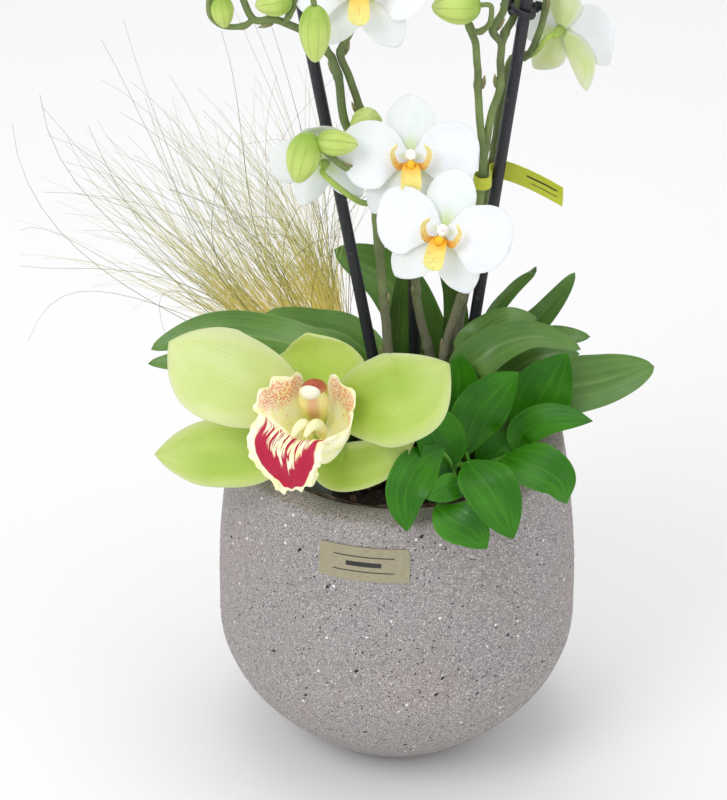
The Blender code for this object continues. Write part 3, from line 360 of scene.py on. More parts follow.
class Look:
    """A material in the making: its nodes, and the Principled shader that they feed."""

    def __init__(self, name: str, **uniform: Union[float, tuple]) -> None:
        """Start a material; uniform values go on the shader's own sockets, named with _ for a space."""
        self.material = bpy.data.materials.new(name)
        self.material.use_nodes = True
        self.tree = self.material.node_tree
        self.shader = self.tree.nodes["Principled BSDF"]
        for key, value in {"Subsurface_Scale": 1.0, **uniform}.items():
            self.shader.inputs[key.replace("_", " ")].default_value = value

    def node(self, kind: str, settings: Optional[dict] = None, inputs: Optional[dict] = None,
             output: Union[int, str] = 0) -> Wire:
        """Add a node.

        Args:
            kind: The node's type.
            settings: Its properties; "stops" fills a ramp with (place, colour) pairs.
            inputs: The values or wires of its sockets, by name or number.
            output: Which output to return.

        Returns:
            The wire from that output.
        """
        made = self.tree.nodes.new(kind)
        for key, value in (settings or {}).items():
            if key == "stops":
                ramp = made.color_ramp
                for place, colour in value[2:]:
                    ramp.elements.new(place)
                for element, (place, colour) in zip(ramp.elements, value):
                    element.position, element.color = place, (*tone(*colour), 1.0)
            else:
                setattr(made, key, value)
        for key, value in (inputs or {}).items():
            if isinstance(value, Wire):
                self.tree.links.new(value.socket, made.inputs[key])
            else:
                made.inputs[key].default_value = value
        return Wire(self, made.outputs[output])

    def coords(self, kind: str = "Object") -> Wire:
        """Return Object coordinates, in metres, or the surface map as UV."""
        return self.node("ShaderNodeTexCoord", output=kind)

    def axes(self, vector: Wire) -> tuple[Wire, Wire, Wire]:
        """Return a vector's three parts."""
        split = self.node("ShaderNodeSeparateXYZ", None, {0: vector}).socket.node
        return tuple(Wire(self, output) for output in split.outputs)

    def turned(self, vector: Wire, scale: Point, turn: Point = (0.0, 0.0, 0.0)) -> Wire:
        """Return the vector turned, then scaled, by a Mapping node."""
        return self.node("ShaderNodeMapping", {"vector_type": "TEXTURE"}, {
            "Vector": vector, "Rotation": turn, "Scale": tuple(1.0 / s for s in scale)})

    def noise(self, vector: Wire, scale: float, detail: float = 2.0, warp: float = 0.0) -> Wire:
        """Return noise, 0 to 1 with its middle at a half."""
        return self.node("ShaderNodeTexNoise", None, {
            "Vector": vector, "Scale": scale, "Detail": detail, "Distortion": warp})

    def cells(self, vector: Wire, scale: float, output: str = "Distance") -> Wire:
        """Return Voronoi cells: the distance to each cell's point, or its random Color."""
        return self.node("ShaderNodeTexVoronoi", None, {"Vector": vector, "Scale": scale}, output)

    def flecks(self, vector: Wire, scale: float, size: float, share: float) -> Wire:
        """Return spots.

        Args:
            vector: The coordinates that they lie in.
            scale: How many cells there are to a unit.
            size: A spot's radius, as a share of its cell.
            share: Which share of the cells has a spot.

        Returns:
            1 in a spot and 0 between them.
        """
        pick = self.axes(self.cells(vector, scale, "Color"))[0]
        near = self.cells(vector, scale).between(size, 0.6 * size)
        return near * pick.between(share + 0.01, share)

    def mix(self, factor: Value, first: Paint, second: Paint) -> Wire:
        """Return two colours mixed by a factor."""
        pair = [colour if isinstance(colour, Wire) else (*tone(*colour), 1.0) for colour in (first, second)]
        return self.node("ShaderNodeMix", {"data_type": "RGBA"}, {0: factor, 6: pair[0], 7: pair[1]}, 2)

    def ramp(self, value: Wire, stops: Sequence[tuple[float, Colour]]) -> Wire:
        """Return the colour at a value between stops."""
        return self.node("ShaderNodeValToRGB", {"stops": stops}, {"Fac": value})

    def bump(self, height: Wire, depth: float, strength: float = 1.0) -> Wire:
        """Return the normal of a relief whose height of 1 is depth millimetres."""
        inputs = {"Height": height, "Distance": depth * MM, "Strength": strength}
        return self.node("ShaderNodeBump", None, inputs)

    def done(self, **links: Wire) -> Material:
        """Feed the shader's sockets, named with _ for a space, and return the material."""
        for key, wire in links.items():
            self.tree.links.new(wire.socket, self.shader.inputs[key.replace("_", " ")])
        return self.material


def tone(red: float, green: float, blue: float) -> Colour:
    """Return a Colour, which is on the usual 0 to 255 display scale, as the shader's linear numbers."""
    share = np.array((red, green, blue)) / 255.0
    linear = np.where(share <= 0.04045, share / 12.92, ((share + 0.055) / 1.055) ** 2.4)
    return tuple(float(value) for value in linear)


# ---------------- finishes

@dataclass(frozen=True)
class StoneFinish:
    """Stone-look composite: fine grain with pale and dark flecks pressed into it, and a darker, coarser-grained
    band at the rim that is painted shade where its top slopes inward.
    """

    name: str = "stone_composite"
    body: Colour = (173, 168, 167)
    warm: Colour = (177, 167, 163)
    dark: Colour = (122, 118, 117)
    pale_fleck: Colour = (246, 246, 244)
    dark_fleck: Colour = (38, 37, 40)
    # Painted shade: the rim colours darken the pot's top band, as if its inward-sloping top were turned from the
    # light.
    rim: Colour = (104, 98, 84)
    rim_shade_grain: Colour = (178, 170, 160)

    def material(self) -> Material:
        """Return the material."""
        look = Look(self.name, Specular_IOR_Level=0.35)
        place = look.coords()
        clouds = look.noise(place, 22.0)
        grain = look.noise(place, 1700.0, 1.0)
        grit = look.noise(place, 620.0, 2.0)
        colour = look.mix(clouds.between(0.35, 0.7), self.body, self.warm)
        pits = grain.between(0.58, 0.36) * 0.8 + grit.between(0.5, 0.35) * 0.3
        colour = look.mix(pits, colour, self.dark)
        pale = look.flecks(place, 290.0, 0.24, 0.07)
        dark = look.flecks(look.turned(place, (1.0, 1.0, 0.5), (0.3, 0.8, 0.2)), 250.0, 0.2, 0.08)
        for tilt in ((0.4, 0.2, 0.9), (1.9, 0.5, 2.6), (2.8, 1.2, 0.3), (0.9, 2.2, 1.7)):
            hair = look.turned(place, (1.0, 1.0, 0.24), tilt)
            pale = pale.most(look.flecks(hair, 1400.0, 0.3, 0.24) * 0.75)
            thick = look.turned(place, (1.0, 1.0, 0.55), tilt)
            dark = dark.most(look.flecks(thick, 620.0, 0.27, 0.05))
        colour = look.mix(pale, colour, self.pale_fleck)
        colour = look.mix(dark, colour, self.dark_fleck)
        height = look.axes(place)[2]
        # Painted shade: the top few millimetres are mixed towards the darker rim colours.
        lip = height.between((POT_HEIGHT - 6.0) * MM, (POT_HEIGHT - 1.5) * MM)
        colour = look.mix(lip * 0.7, colour, look.mix(grain.between(0.35, 0.7), self.rim, self.rim_shade_grain))
        relief = grain * 0.5 + grit * 0.5 + pale * 0.4 - dark * 0.5
        return look.done(Base_Color=colour, Roughness=0.86 - pale * 0.35 - clouds * 0.1,
                         Normal=look.bump(relief, 0.35, 0.8))


@dataclass(frozen=True)
class FilmFinish:
    """Thin brown film, half clear, dulled by dust; its brown also paints the shade of the pot's inner wall."""

    name: str = "liner_film"
    # The brown is partly the film's own colour and partly painted shade of the inner wall.
    colour: Colour = (96, 80, 62)

    def material(self) -> Material:
        """Return the material."""
        look = Look(self.name)
        dust = look.noise(look.coords(), 160.0)
        colour = look.mix(dust.between(0.4, 0.75), self.colour, (150, 138, 118))
        return look.done(Base_Color=colour, Roughness=0.2 + dust * 0.3, Alpha=0.62 + dust * 0.3,
                         Normal=look.bump(look.noise(look.coords(), 300.0), 0.3, 0.5))


@dataclass(frozen=True)
class SoilFinish:
    """Damp potting mix: dark crumbs with paler fibres."""

    name: str = "soil_mix"
    dark: Colour = (34, 26, 19)
    pale: Colour = (96, 76, 55)

    def material(self) -> Material:
        """Return the material."""
        look = Look(self.name, Specular_IOR_Level=0.3)
        place = look.coords()
        crumbs = look.cells(place, 420.0)
        fibres = look.noise(place, 700.0, 3.0, 1.5)
        colour = look.mix(fibres.between(0.5, 0.72), self.dark, self.pale)
        colour = look.mix(crumbs.between(0.2, 0.7) * 0.6, colour, self.dark)
        return look.done(Base_Color=colour, Roughness=0.75 + fibres * 0.25,
                         Normal=look.bump(crumbs + fibres, 1.2))


@dataclass(frozen=True)
class BarkFinish:
    """Bark chips: each a shade of brown, with a split grain."""

    name: str = "bark_chip"

    def material(self) -> Material:
        """Return the material."""
        look = Look(self.name, Specular_IOR_Level=0.3)
        place = look.coords()
        shade = look.noise(place, 90.0)
        grain = look.noise(look.turned(place, (1.0, 0.2, 1.0), (0.4, 0.2, 0.6)), 900.0, 3.0)
        colour = look.ramp(shade, ((0.3, (44, 31, 22)), (0.5, (82, 58, 40)), (0.7, (118, 90, 64))))
        colour = look.mix(grain.between(0.5, 0.3) * 0.6, colour, (24, 18, 14))
        return look.done(Base_Color=colour, Roughness=0.8 + grain * 0.15, Normal=look.bump(grain, 0.6))


@dataclass(frozen=True)
class StickerFinish:
    """Brushed champagne metal film with a plain printed border and bar."""

    name: str = "label_metal"
    metal: Colour = (186, 178, 150)
    shade: Colour = (150, 143, 118)
    ink: Colour = (40, 40, 38)

    def material(self) -> Material:
        """Return the material."""
        look = Look(self.name)
        up, across, _ = look.axes(look.coords("UV"))
        brushed = look.noise(look.turned(look.coords("UV"), (220.0, 14.0, 1.0)), 1.0, 3.0)
        speck = look.noise(look.coords(), 1400.0)
        colour = look.mix(brushed.between(0.3, 0.75), self.shade, self.metal)
        colour = look.mix(speck.between(0.6, 0.8) * 0.5, colour, (222, 216, 192))
        line = abs(abs(up - 0.5) - 0.22).between(0.022, 0.012) * abs(across - 0.5).between(0.34, 0.33)
        bar = abs(up - 0.5).between(0.075, 0.065) * abs(across - 0.5).between(0.2, 0.19)
        ink = line.most(bar)
        colour = look.mix(ink, colour, self.ink)
        return look.done(Base_Color=colour, Metallic=0.55 - ink * 0.5, Roughness=0.3 + brushed * 0.25,
                         Normal=look.bump(brushed, 0.03))


@dataclass(frozen=True)
class BlackFinish:
    """Black plastic with a blue cast, drawn lines along it and pale scuffs."""

    name: str = "black_plastic"
    colour: Colour = (34, 34, 42)
    scuff: Colour = (104, 106, 116)
    roughness: float = 0.34

    def material(self) -> Material:
        """Return the material."""
        look = Look(self.name, Specular_IOR_Level=0.5)
        place = look.coords()
        drawn = look.noise(look.turned(place, (1.0, 1.0, 0.03)), 1300.0, 2.0)
        scuffs = look.noise(place, 240.0, 3.0, 0.6)
        colour = look.mix(drawn.between(0.4, 0.8) * 0.35, self.colour, (62, 63, 74))
        colour = look.mix(scuffs.between(0.66, 0.74) * 0.45, colour, self.scuff)
        return look.done(Base_Color=colour, Roughness=self.roughness + scuffs * 0.25,
                         Normal=look.bump(drawn, 0.08))


@dataclass(frozen=True)
class TagFinish:
    """Lime card with a faint weave and plain dark printed bars."""

    name: str = "lime_card"
    colour: Colour = (199, 206, 58)
    ink: Colour = (66, 72, 30)

    def material(self) -> Material:
        """Return the material."""
        look = Look(self.name)
        along, up, _ = look.axes(look.coords("UV"))
        fibre = look.noise(look.coords(), 500.0)
        colour = look.mix(fibre.between(0.3, 0.8) * 0.4, self.colour, (182, 190, 46))
        bar = abs(up - 0.62).between(0.06, 0.045) * abs(along - 0.84).between(0.115, 0.112)
        thin = abs(up - 0.32).between(0.03, 0.02) * abs(along - 0.86).between(0.1, 0.097)
        colour = look.mix(bar.most(thin), colour, self.ink)
        return look.done(Base_Color=colour, Roughness=0.4 + fibre * 0.2, Normal=look.bump(fibre, 0.03))


@dataclass(frozen=True)
class ClearFinish:
    """Clear plastic of the water tube, with faint moulding lines."""

    name: str = "clear_plastic"

    def material(self) -> Material:
        """Return the material."""
        look = Look(self.name, Transmission_Weight=0.7, IOR=1.46)
        film = look.noise(look.coords(), 180.0)
        colour = look.mix(film, (214, 222, 224), (238, 242, 242))
        return look.done(Base_Color=colour, Roughness=0.06 + film * 0.12, Normal=look.bump(film, 0.05))


@dataclass(frozen=True)
class LeafFinish:
    """A leaf: veins along it on the surface map, a midrib, a pale edge and uneven green."""

    name: str
    deep: Colour
    bright: Colour
    rib: Colour
    edge: Colour
    veins: float = 15.0
    vein_depth: float = 0.12
    rib_width: float = 0.03
    edge_width: float = 0.025
    roughness: float = 0.34
    coat: float = 0.0
    through: float = 0.0

    def material(self) -> Material:
        """Return the material."""
        look = Look(self.name, Coat_Weight=self.coat, Coat_Roughness=0.25, Specular_IOR_Level=0.3,
                    Subsurface_Weight=self.through, Subsurface_Radius=(0.002, 0.003, 0.001))
        chart = look.coords("UV")
        place = look.coords()
        along, across, _ = look.axes(chart)
        off = abs(across - 0.5) * 2.0
        wander = look.noise(look.turned(chart, (1.5, 3.0, 1.0)), 1.0) * 0.12
        vein = ((across + wander) * (2 * np.pi * self.veins)).sine() * 0.5 + 0.5
        fine = look.noise(look.turned(chart, (5.0, 130.0, 1.0)), 1.0, 2.0)
        patches = look.noise(place, 60.0, 3.0)
        streaks = look.noise(look.turned(chart, (1.2, 9.0, 1.0)), 1.0, 3.0, 0.4)
        colour = look.mix((patches * 0.5 + streaks * 0.5).between(0.36, 0.64), self.deep, self.bright)
        colour = look.mix(vein.between(0.75, 1.0) * 0.07 + fine.between(0.55, 0.8) * 0.08, colour, self.rib)
        rib = off.between(self.rib_width, 0.3 * self.rib_width) * along.between(1.0, 0.75)
        colour = look.mix(rib * 0.5, colour, self.rib)
        colour = look.mix(off.between(1.0 - self.edge_width * 1.6, 1.0 - 0.3 * self.edge_width) * 0.8,
                          colour, self.edge)
        colour = look.mix(look.flecks(place, 110.0, 0.1, 0.05) * 0.5, colour, self.edge)
        relief = vein * -0.5 + fine * 0.35 - rib * 1.2 + patches * 0.4
        return look.done(Base_Color=colour, Roughness=self.roughness + patches * 0.16 - vein * 0.05,
                         Normal=look.bump(relief, self.vein_depth))


@dataclass(frozen=True)
class PetalFinish:
    """A petal: fine branching veins along it, a tint from its base, a paler edge, and light through it; its
    glow, where set, is painted light.
    """

    name: str
    body: Colour
    shade: Colour
    base: Colour
    edge: Colour
    vein: Colour
    base_reach: float = 0.4
    base_width: float = 1.2
    veins: float = 34.0
    vein_weight: float = 0.16
    roughness: float = 0.42
    # Emission strength: a painted glow that lifts the petal out of its shade.
    painted_glow: float = 0.0

    def material(self) -> Material:
        """Return the material."""
        look = Look(self.name, Subsurface_Weight=0.25, Subsurface_Radius=(0.004, 0.004, 0.002),
                    Specular_IOR_Level=0.35, Sheen_Weight=0.08, Emission_Strength=self.painted_glow)
        chart = look.coords("UV")
        along, across, _ = look.axes(chart)
        off = abs(across - 0.5) * 2.0
        wander = look.noise(look.turned(chart, (2.4, 5.0, 1.0)), 1.0, 2.0)
        line = abs(((across + wander * 0.05) * (np.pi * self.veins)).sine())
        cloud = look.noise(look.turned(chart, (2.0, 4.0, 1.0)), 1.0, 3.0)
        crystal = look.noise(look.coords(), 1800.0)
        colour = look.mix(cloud.between(0.35, 0.7), self.body, self.shade)
        reach = (along + off * self.base_width * 0.3 + cloud * 0.15).between(self.base_reach + 0.12, 0.08)
        colour = look.mix(reach, colour, self.base)
        veined = line.between(0.35, 0.0) * wander.between(0.2, 0.6) * self.vein_weight
        colour = look.mix(veined, colour, self.vein)
        colour = look.mix(off.between(0.35, 1.0) * 0.5 + along.between(0.6, 1.0) * 0.3, colour, self.edge)
        relief = line * 0.5 + crystal * 0.35 + cloud
        return look.done(Base_Color=colour, Roughness=self.roughness + crystal * 0.12,
                         Emission_Color=colour, Normal=look.bump(relief, 0.1))


@dataclass(frozen=True)
class LipFinish:
    """The cymbidium's lip: cream, with a crimson front lobe broken into dashes and rust-red spotted sides.

    The surface map runs from the root at 0 to the front edge at 1, and from side to side.
    """

    name: str = "cymbidium_lip"
    cream: Colour = (252, 249, 216)
    yellow: Colour = (246, 242, 182)
    crimson: Colour = (190, 22, 66)
    deep: Colour = (150, 12, 52)
    rust: Colour = (218, 118, 84)

    def material(self) -> Material:
        """Return the material."""
        # The emission strength is painted light: the lip glows faintly to lift the shade in its throat.
        look = Look(self.name, Subsurface_Weight=0.3, Subsurface_Radius=(0.004, 0.003, 0.002),
                    Specular_IOR_Level=0.4, Emission_Strength=0.12)
        chart = look.coords("UV")
        place = look.coords()
        along, across, _ = look.axes(chart)
        off = abs(across - 0.5) * 2.0
        ragged = look.noise(look.turned(chart, (16.0, 16.0, 1.0)), 1.0, 2.0) - 0.5
        spots = look.noise(look.turned(chart, (80.0, 110.0, 1.0)), 1.0, 1.0)
        dashes = look.noise(look.turned(chart, (9.0, 44.0, 1.0)), 1.0, 1.0)
        colour = look.mix(look.noise(place, 160.0).between(0.35, 0.7), self.cream, self.yellow)
        rim = (off * off + along**14.0).between(0.84, 0.72)
        front = (along + ragged * 0.06).between(0.6, 0.66)
        start = (along + off * 0.28 + ragged * 0.12).between(0.87, 0.91)
        dashed = dashes.between(0.5, 0.56) * front
        middle = off.between(0.035, 0.015) * along.between(0.6, 0.66)
        inner = (off + ragged * 0.12 + along**18.0).between(0.86, 0.8)
        crimson = start.most(dashed).most(middle) * inner * front
        colour = look.mix(crimson, colour, look.mix(spots.between(0.4, 0.7), self.crimson, self.deep))
        side = along.between(0.6, 0.5) * along.between(0.12, 0.3)
        band = (off + ragged * 0.1).between(0.62, 0.8) * (off + ragged * 0.05).between(0.99, 0.93)
        rusty = band * side * (spots.between(0.44, 0.56) * 0.75 + 0.25)
        colour = look.mix(rusty * 0.85, colour, self.rust)
        speck = look.flecks(look.turned(chart, (30.0, 30.0, 1.0)), 1.0, 0.3, 0.3)
        colour = look.mix(speck * side * off.between(0.3, 0.6) * 0.6, colour, self.rust)
        relief = dashes * 0.4 + spots * 0.4 + rim * 0.1 + crimson * 0.3
        return look.done(Base_Color=colour, Roughness=0.42 + spots * 0.14, Emission_Color=colour,
                         Normal=look.bump(relief, 0.25))


@dataclass(frozen=True)
class ColumnFinish:
    """The cymbidium's column: yellow-green, with a pink stripe under it and a red-brown back near its tip."""

    name: str = "cymbidium_column"

    def material(self) -> Material:
        """Return the material."""
        look = Look(self.name, Subsurface_Weight=0.15, Subsurface_Radius=(0.003, 0.002, 0.001))
        along, across, _ = look.axes(look.coords("UV"))
        cloud = look.noise(look.coords(), 260.0, 2.0)
        colour = look.mix(along.between(0.1, 0.8), (206, 212, 84), (240, 228, 150))
        stripe = (across + cloud * 0.06).between(0.82, 0.98) * along.between(0.3, 0.55)
        colour = look.mix(stripe * 0.55, colour, (222, 136, 124))
        back = across.between(0.5, 0.2) * along.between(0.35, 0.75)
        colour = look.mix(back * (0.6 + cloud * 0.6), colour, (150, 62, 34))
        return look.done(Base_Color=colour, Roughness=0.36 + cloud * 0.16, Normal=look.bump(cloud, 0.15))


@dataclass(frozen=True)
class SpeckledFinish:
    """A soft plant surface of two colours along its surface map, with small spots."""

    name: str
    start: Colour
    end: Colour
    spot: Colour
    spots: float = 0.2
    spot_scale: float = 900.0
    roughness: float = 0.42
    through: float = 0.15

    def material(self) -> Material:
        """Return the material."""
        look = Look(self.name, Subsurface_Weight=self.through, Subsurface_Radius=(0.003, 0.002, 0.001),
                    Specular_IOR_Level=0.4)
        place = look.coords()
        along, _, _ = look.axes(look.coords("UV"))
        cloud = look.noise(place, 220.0, 3.0)
        colour = look.mix((along + (cloud - 0.5) * 0.4).between(0.1, 0.85), self.start, self.end)
        mark = look.flecks(place, self.spot_scale, 0.42, self.spots)
        colour = look.mix(mark * 0.8, colour, self.spot)
        return look.done(Base_Color=colour, Roughness=self.roughness + cloud * 0.15,
                         Normal=look.bump(cloud + mark * 0.3, 0.15))


@dataclass(frozen=True)
class StemFinish:
    """A flower spike: olive above, grey-brown and scaly below, with lenticel dots and lines along it."""

    name: str = "spike_stem"
    olive: Colour = (100, 114, 72)
    bright: Colour = (128, 146, 86)
    woody: Colour = (126, 120, 104)
    dark: Colour = (74, 74, 56)

    def material(self) -> Material:
        """Return the material."""
        look = Look(self.name, Specular_IOR_Level=0.35)
        place = look.coords()
        height = look.axes(place)[2]
        cloud = look.noise(place, 70.0, 3.0)
        lines = look.noise(look.turned(place, (1.0, 1.0, 0.12)), 1500.0, 2.0)
        colour = look.mix(cloud.between(0.35, 0.7), self.olive, self.bright)
        low = (height + (cloud - 0.5) * 0.05).between(0.25, 0.2)
        colour = look.mix(low * 0.85, colour, self.woody)
        colour = look.mix(lines.between(0.55, 0.75) * 0.3, colour, self.dark)
        dots = look.flecks(place, 620.0, 0.25, 0.25)
        colour = look.mix(dots * 0.5, colour, (178, 176, 150))
        return look.done(Base_Color=colour, Roughness=0.5 + cloud * 0.2,
                         Normal=look.bump(lines * 0.6 + cloud * 0.6 + dots * 0.4, 0.2))


@dataclass(frozen=True)
class BudFinish:
    """A bud: yellow-green, deeper at its base, with darker seams where its sepals meet."""

    name: str = "orchid_bud"
    body: Colour = (196, 218, 112)
    base: Colour = (146, 184, 62)
    tip: Colour = (222, 232, 150)

    def material(self) -> Material:
        """Return the material."""
        look = Look(self.name, Subsurface_Weight=0.2, Subsurface_Radius=(0.003, 0.003, 0.001),
                    Specular_IOR_Level=0.45)
        chart = look.coords("UV")
        along, across, _ = look.axes(chart)
        cloud = look.noise(look.coords(), 150.0, 3.0)
        fine = look.noise(look.turned(chart, (3.0, 60.0, 1.0)), 1.0, 2.0)
        colour = look.mix(along.between(0.5, 0.0), self.body, self.base)
        colour = look.mix(along.between(0.7, 1.0) * 0.6, colour, self.tip)
        seam = abs(((across - 0.02) * (3 * np.pi)).sine()).between(0.16, 0.02) * along.between(0.05, 0.3)
        colour = look.mix(seam * 0.3, colour, (128, 160, 52))
        colour = look.mix(cloud.between(0.5, 0.75) * 0.3 + fine.between(0.5, 0.8) * 0.25, colour, self.tip)
        return look.done(Base_Color=colour, Roughness=0.36 + cloud * 0.15,
                         Normal=look.bump(fine * 0.5 + cloud - seam * 0.8, 0.18))


@dataclass(frozen=True)
class GrassFinish:
    """Feather grass: gold at the foot, straw on the way and olive at the tips; each stalk differs a little, and
    a painted glow lifts the thin stalks out of their shade.
    """

    name: str = "feather_grass"
    # Painted glow: emission that brightens the thin, self-shadowed stalks.
    painted_glow: float = 0.28
    foot: Colour = (220, 190, 92)
    middle: Colour = (226, 210, 124)
    tip: Colour = (158, 164, 96)

    def material(self) -> Material:
        """Return the material."""
        look = Look(self.name, Specular_IOR_Level=0.2, Emission_Strength=self.painted_glow)
        along, shade, _ = look.axes(look.coords("UV"))
        colour = look.ramp(along, ((0.0, self.foot), (0.45, self.middle), (1.0, self.tip)))
        colour = look.mix(shade.between(0.6, 0.95) * 0.92, colour, (88, 92, 46))
        grain = look.noise(look.coords(), 1200.0)
        colour = look.mix(grain.between(0.5, 0.8) * 0.3, colour, (232, 222, 160))
        return look.done(Base_Color=colour, Roughness=0.55 + grain * 0.2, Emission_Color=colour)


STRAP_TOP = LeafFinish("strap_leaf_top", (80, 120, 48), (100, 139, 60), (122, 154, 84), (150, 172, 112),
                       veins=12.0, vein_depth=0.06, rib_width=0.05, roughness=0.32, coat=0.2)
STRAP_BACK = LeafFinish("strap_leaf_back", (92, 122, 76), (126, 150, 100), (150, 168, 122), (158, 176, 124),
                        veins=12.0, rib_width=0.1, roughness=0.5)
RUSCUS_TOP = LeafFinish("ruscus_leaf_top", (36, 102, 4), (58, 130, 8), (76, 146, 28), (104, 168, 60),
                        veins=9.0, vein_depth=0.08, rib_width=0.025, edge_width=0.012, through=0.05)
RUSCUS_BACK = LeafFinish("ruscus_leaf_back", (48, 108, 26), (82, 146, 48), (112, 168, 74), (140, 186, 104),
                         veins=9.0, vein_depth=0.12, rib_width=0.05, edge_width=0.012, roughness=0.42,
                         through=0.05)
GREEN_PETAL = PetalFinish("green_petal", (168, 197, 80), (186, 209, 102), (142, 178, 48), (226, 233, 176),
                          (152, 184, 72), base_reach=0.6)
# Lit copy of the green petal: paler colours paint the light that falls on the left petal.
LIT_PETAL = replace(GREEN_PETAL, name="lit_green_petal", body=(200, 218, 134), shade=(212, 226, 158),
                     base=(168, 198, 78), base_reach=0.4)
# Lit copy of the green petal: brighter colours and a painted glow lift the dorsal sepal, which faces up and back
# into shade.
LIT_UPPER_SEPAL = replace(GREEN_PETAL, name="lit_upper_sepal", body=(196, 220, 104), shade=(206, 226, 122),
                      base=(174, 206, 78), painted_glow=0.08)
# The white petals' painted glow brightens them beyond the lamps' light.
WHITE_PETAL = PetalFinish("white_petal", (244, 248, 250), (238, 243, 247), (214, 230, 168), (248, 250, 252),
                          (226, 234, 232), base_reach=0.16, veins=24.0, vein_weight=0.3, painted_glow=0.04)
WHITE_SEPAL = PetalFinish("white_sepal", (242, 247, 246), (234, 242, 236), (206, 226, 150), (248, 250, 250),
                          (216, 230, 196), base_reach=0.42, veins=18.0, vein_weight=0.4)
GREEN_SEPAL = replace(WHITE_SEPAL, name="green_white_sepal", body=(232, 242, 190), shade=(216, 232, 150),
                      base_reach=0.7)
MOTH_LIP = SpeckledFinish("moth_lip", (242, 174, 20), (250, 242, 150), (206, 120, 40), 0.08, 1500.0)
MOTH_HORN = SpeckledFinish("moth_lip_horn", (226, 160, 60), (246, 234, 160), (160, 84, 34), 0.2, 1500.0)
MOTH_CALLUS = SpeckledFinish("moth_lip_callus", (246, 168, 26), (250, 200, 40), (158, 62, 20), 0.4)
MOTH_COLUMN = SpeckledFinish("moth_column", (238, 240, 214), (252, 248, 244), (226, 170, 176), 0.2)
CALLUS = SpeckledFinish("cymbidium_callus", (236, 234, 160), (248, 246, 196), (240, 226, 150), 0.1)
ANTHER = SpeckledFinish("cymbidium_anther", (244, 236, 196), (250, 246, 222), (240, 232, 190), 0.1)
HOOD = SpeckledFinish("cymbidium_hood", (226, 196, 110), (176, 84, 50), (140, 50, 34), 0.3)
STALK = SpeckledFinish("flower_stalk", (150, 172, 88), (176, 204, 96), (120, 140, 70), 0.2)
BRACT = SpeckledFinish("stem_bract", (112, 116, 74), (158, 150, 108), (70, 58, 42), 0.3, roughness=0.6,
                       through=0.0)
TWIG = SpeckledFinish("ruscus_twig", (74, 128, 40), (98, 158, 54), (58, 96, 34), 0.2)
CUT_STEM = SpeckledFinish("cut_stem", (150, 178, 84), (188, 208, 110), (120, 150, 60), 0.2)


# ---------------- pot and what stands in it

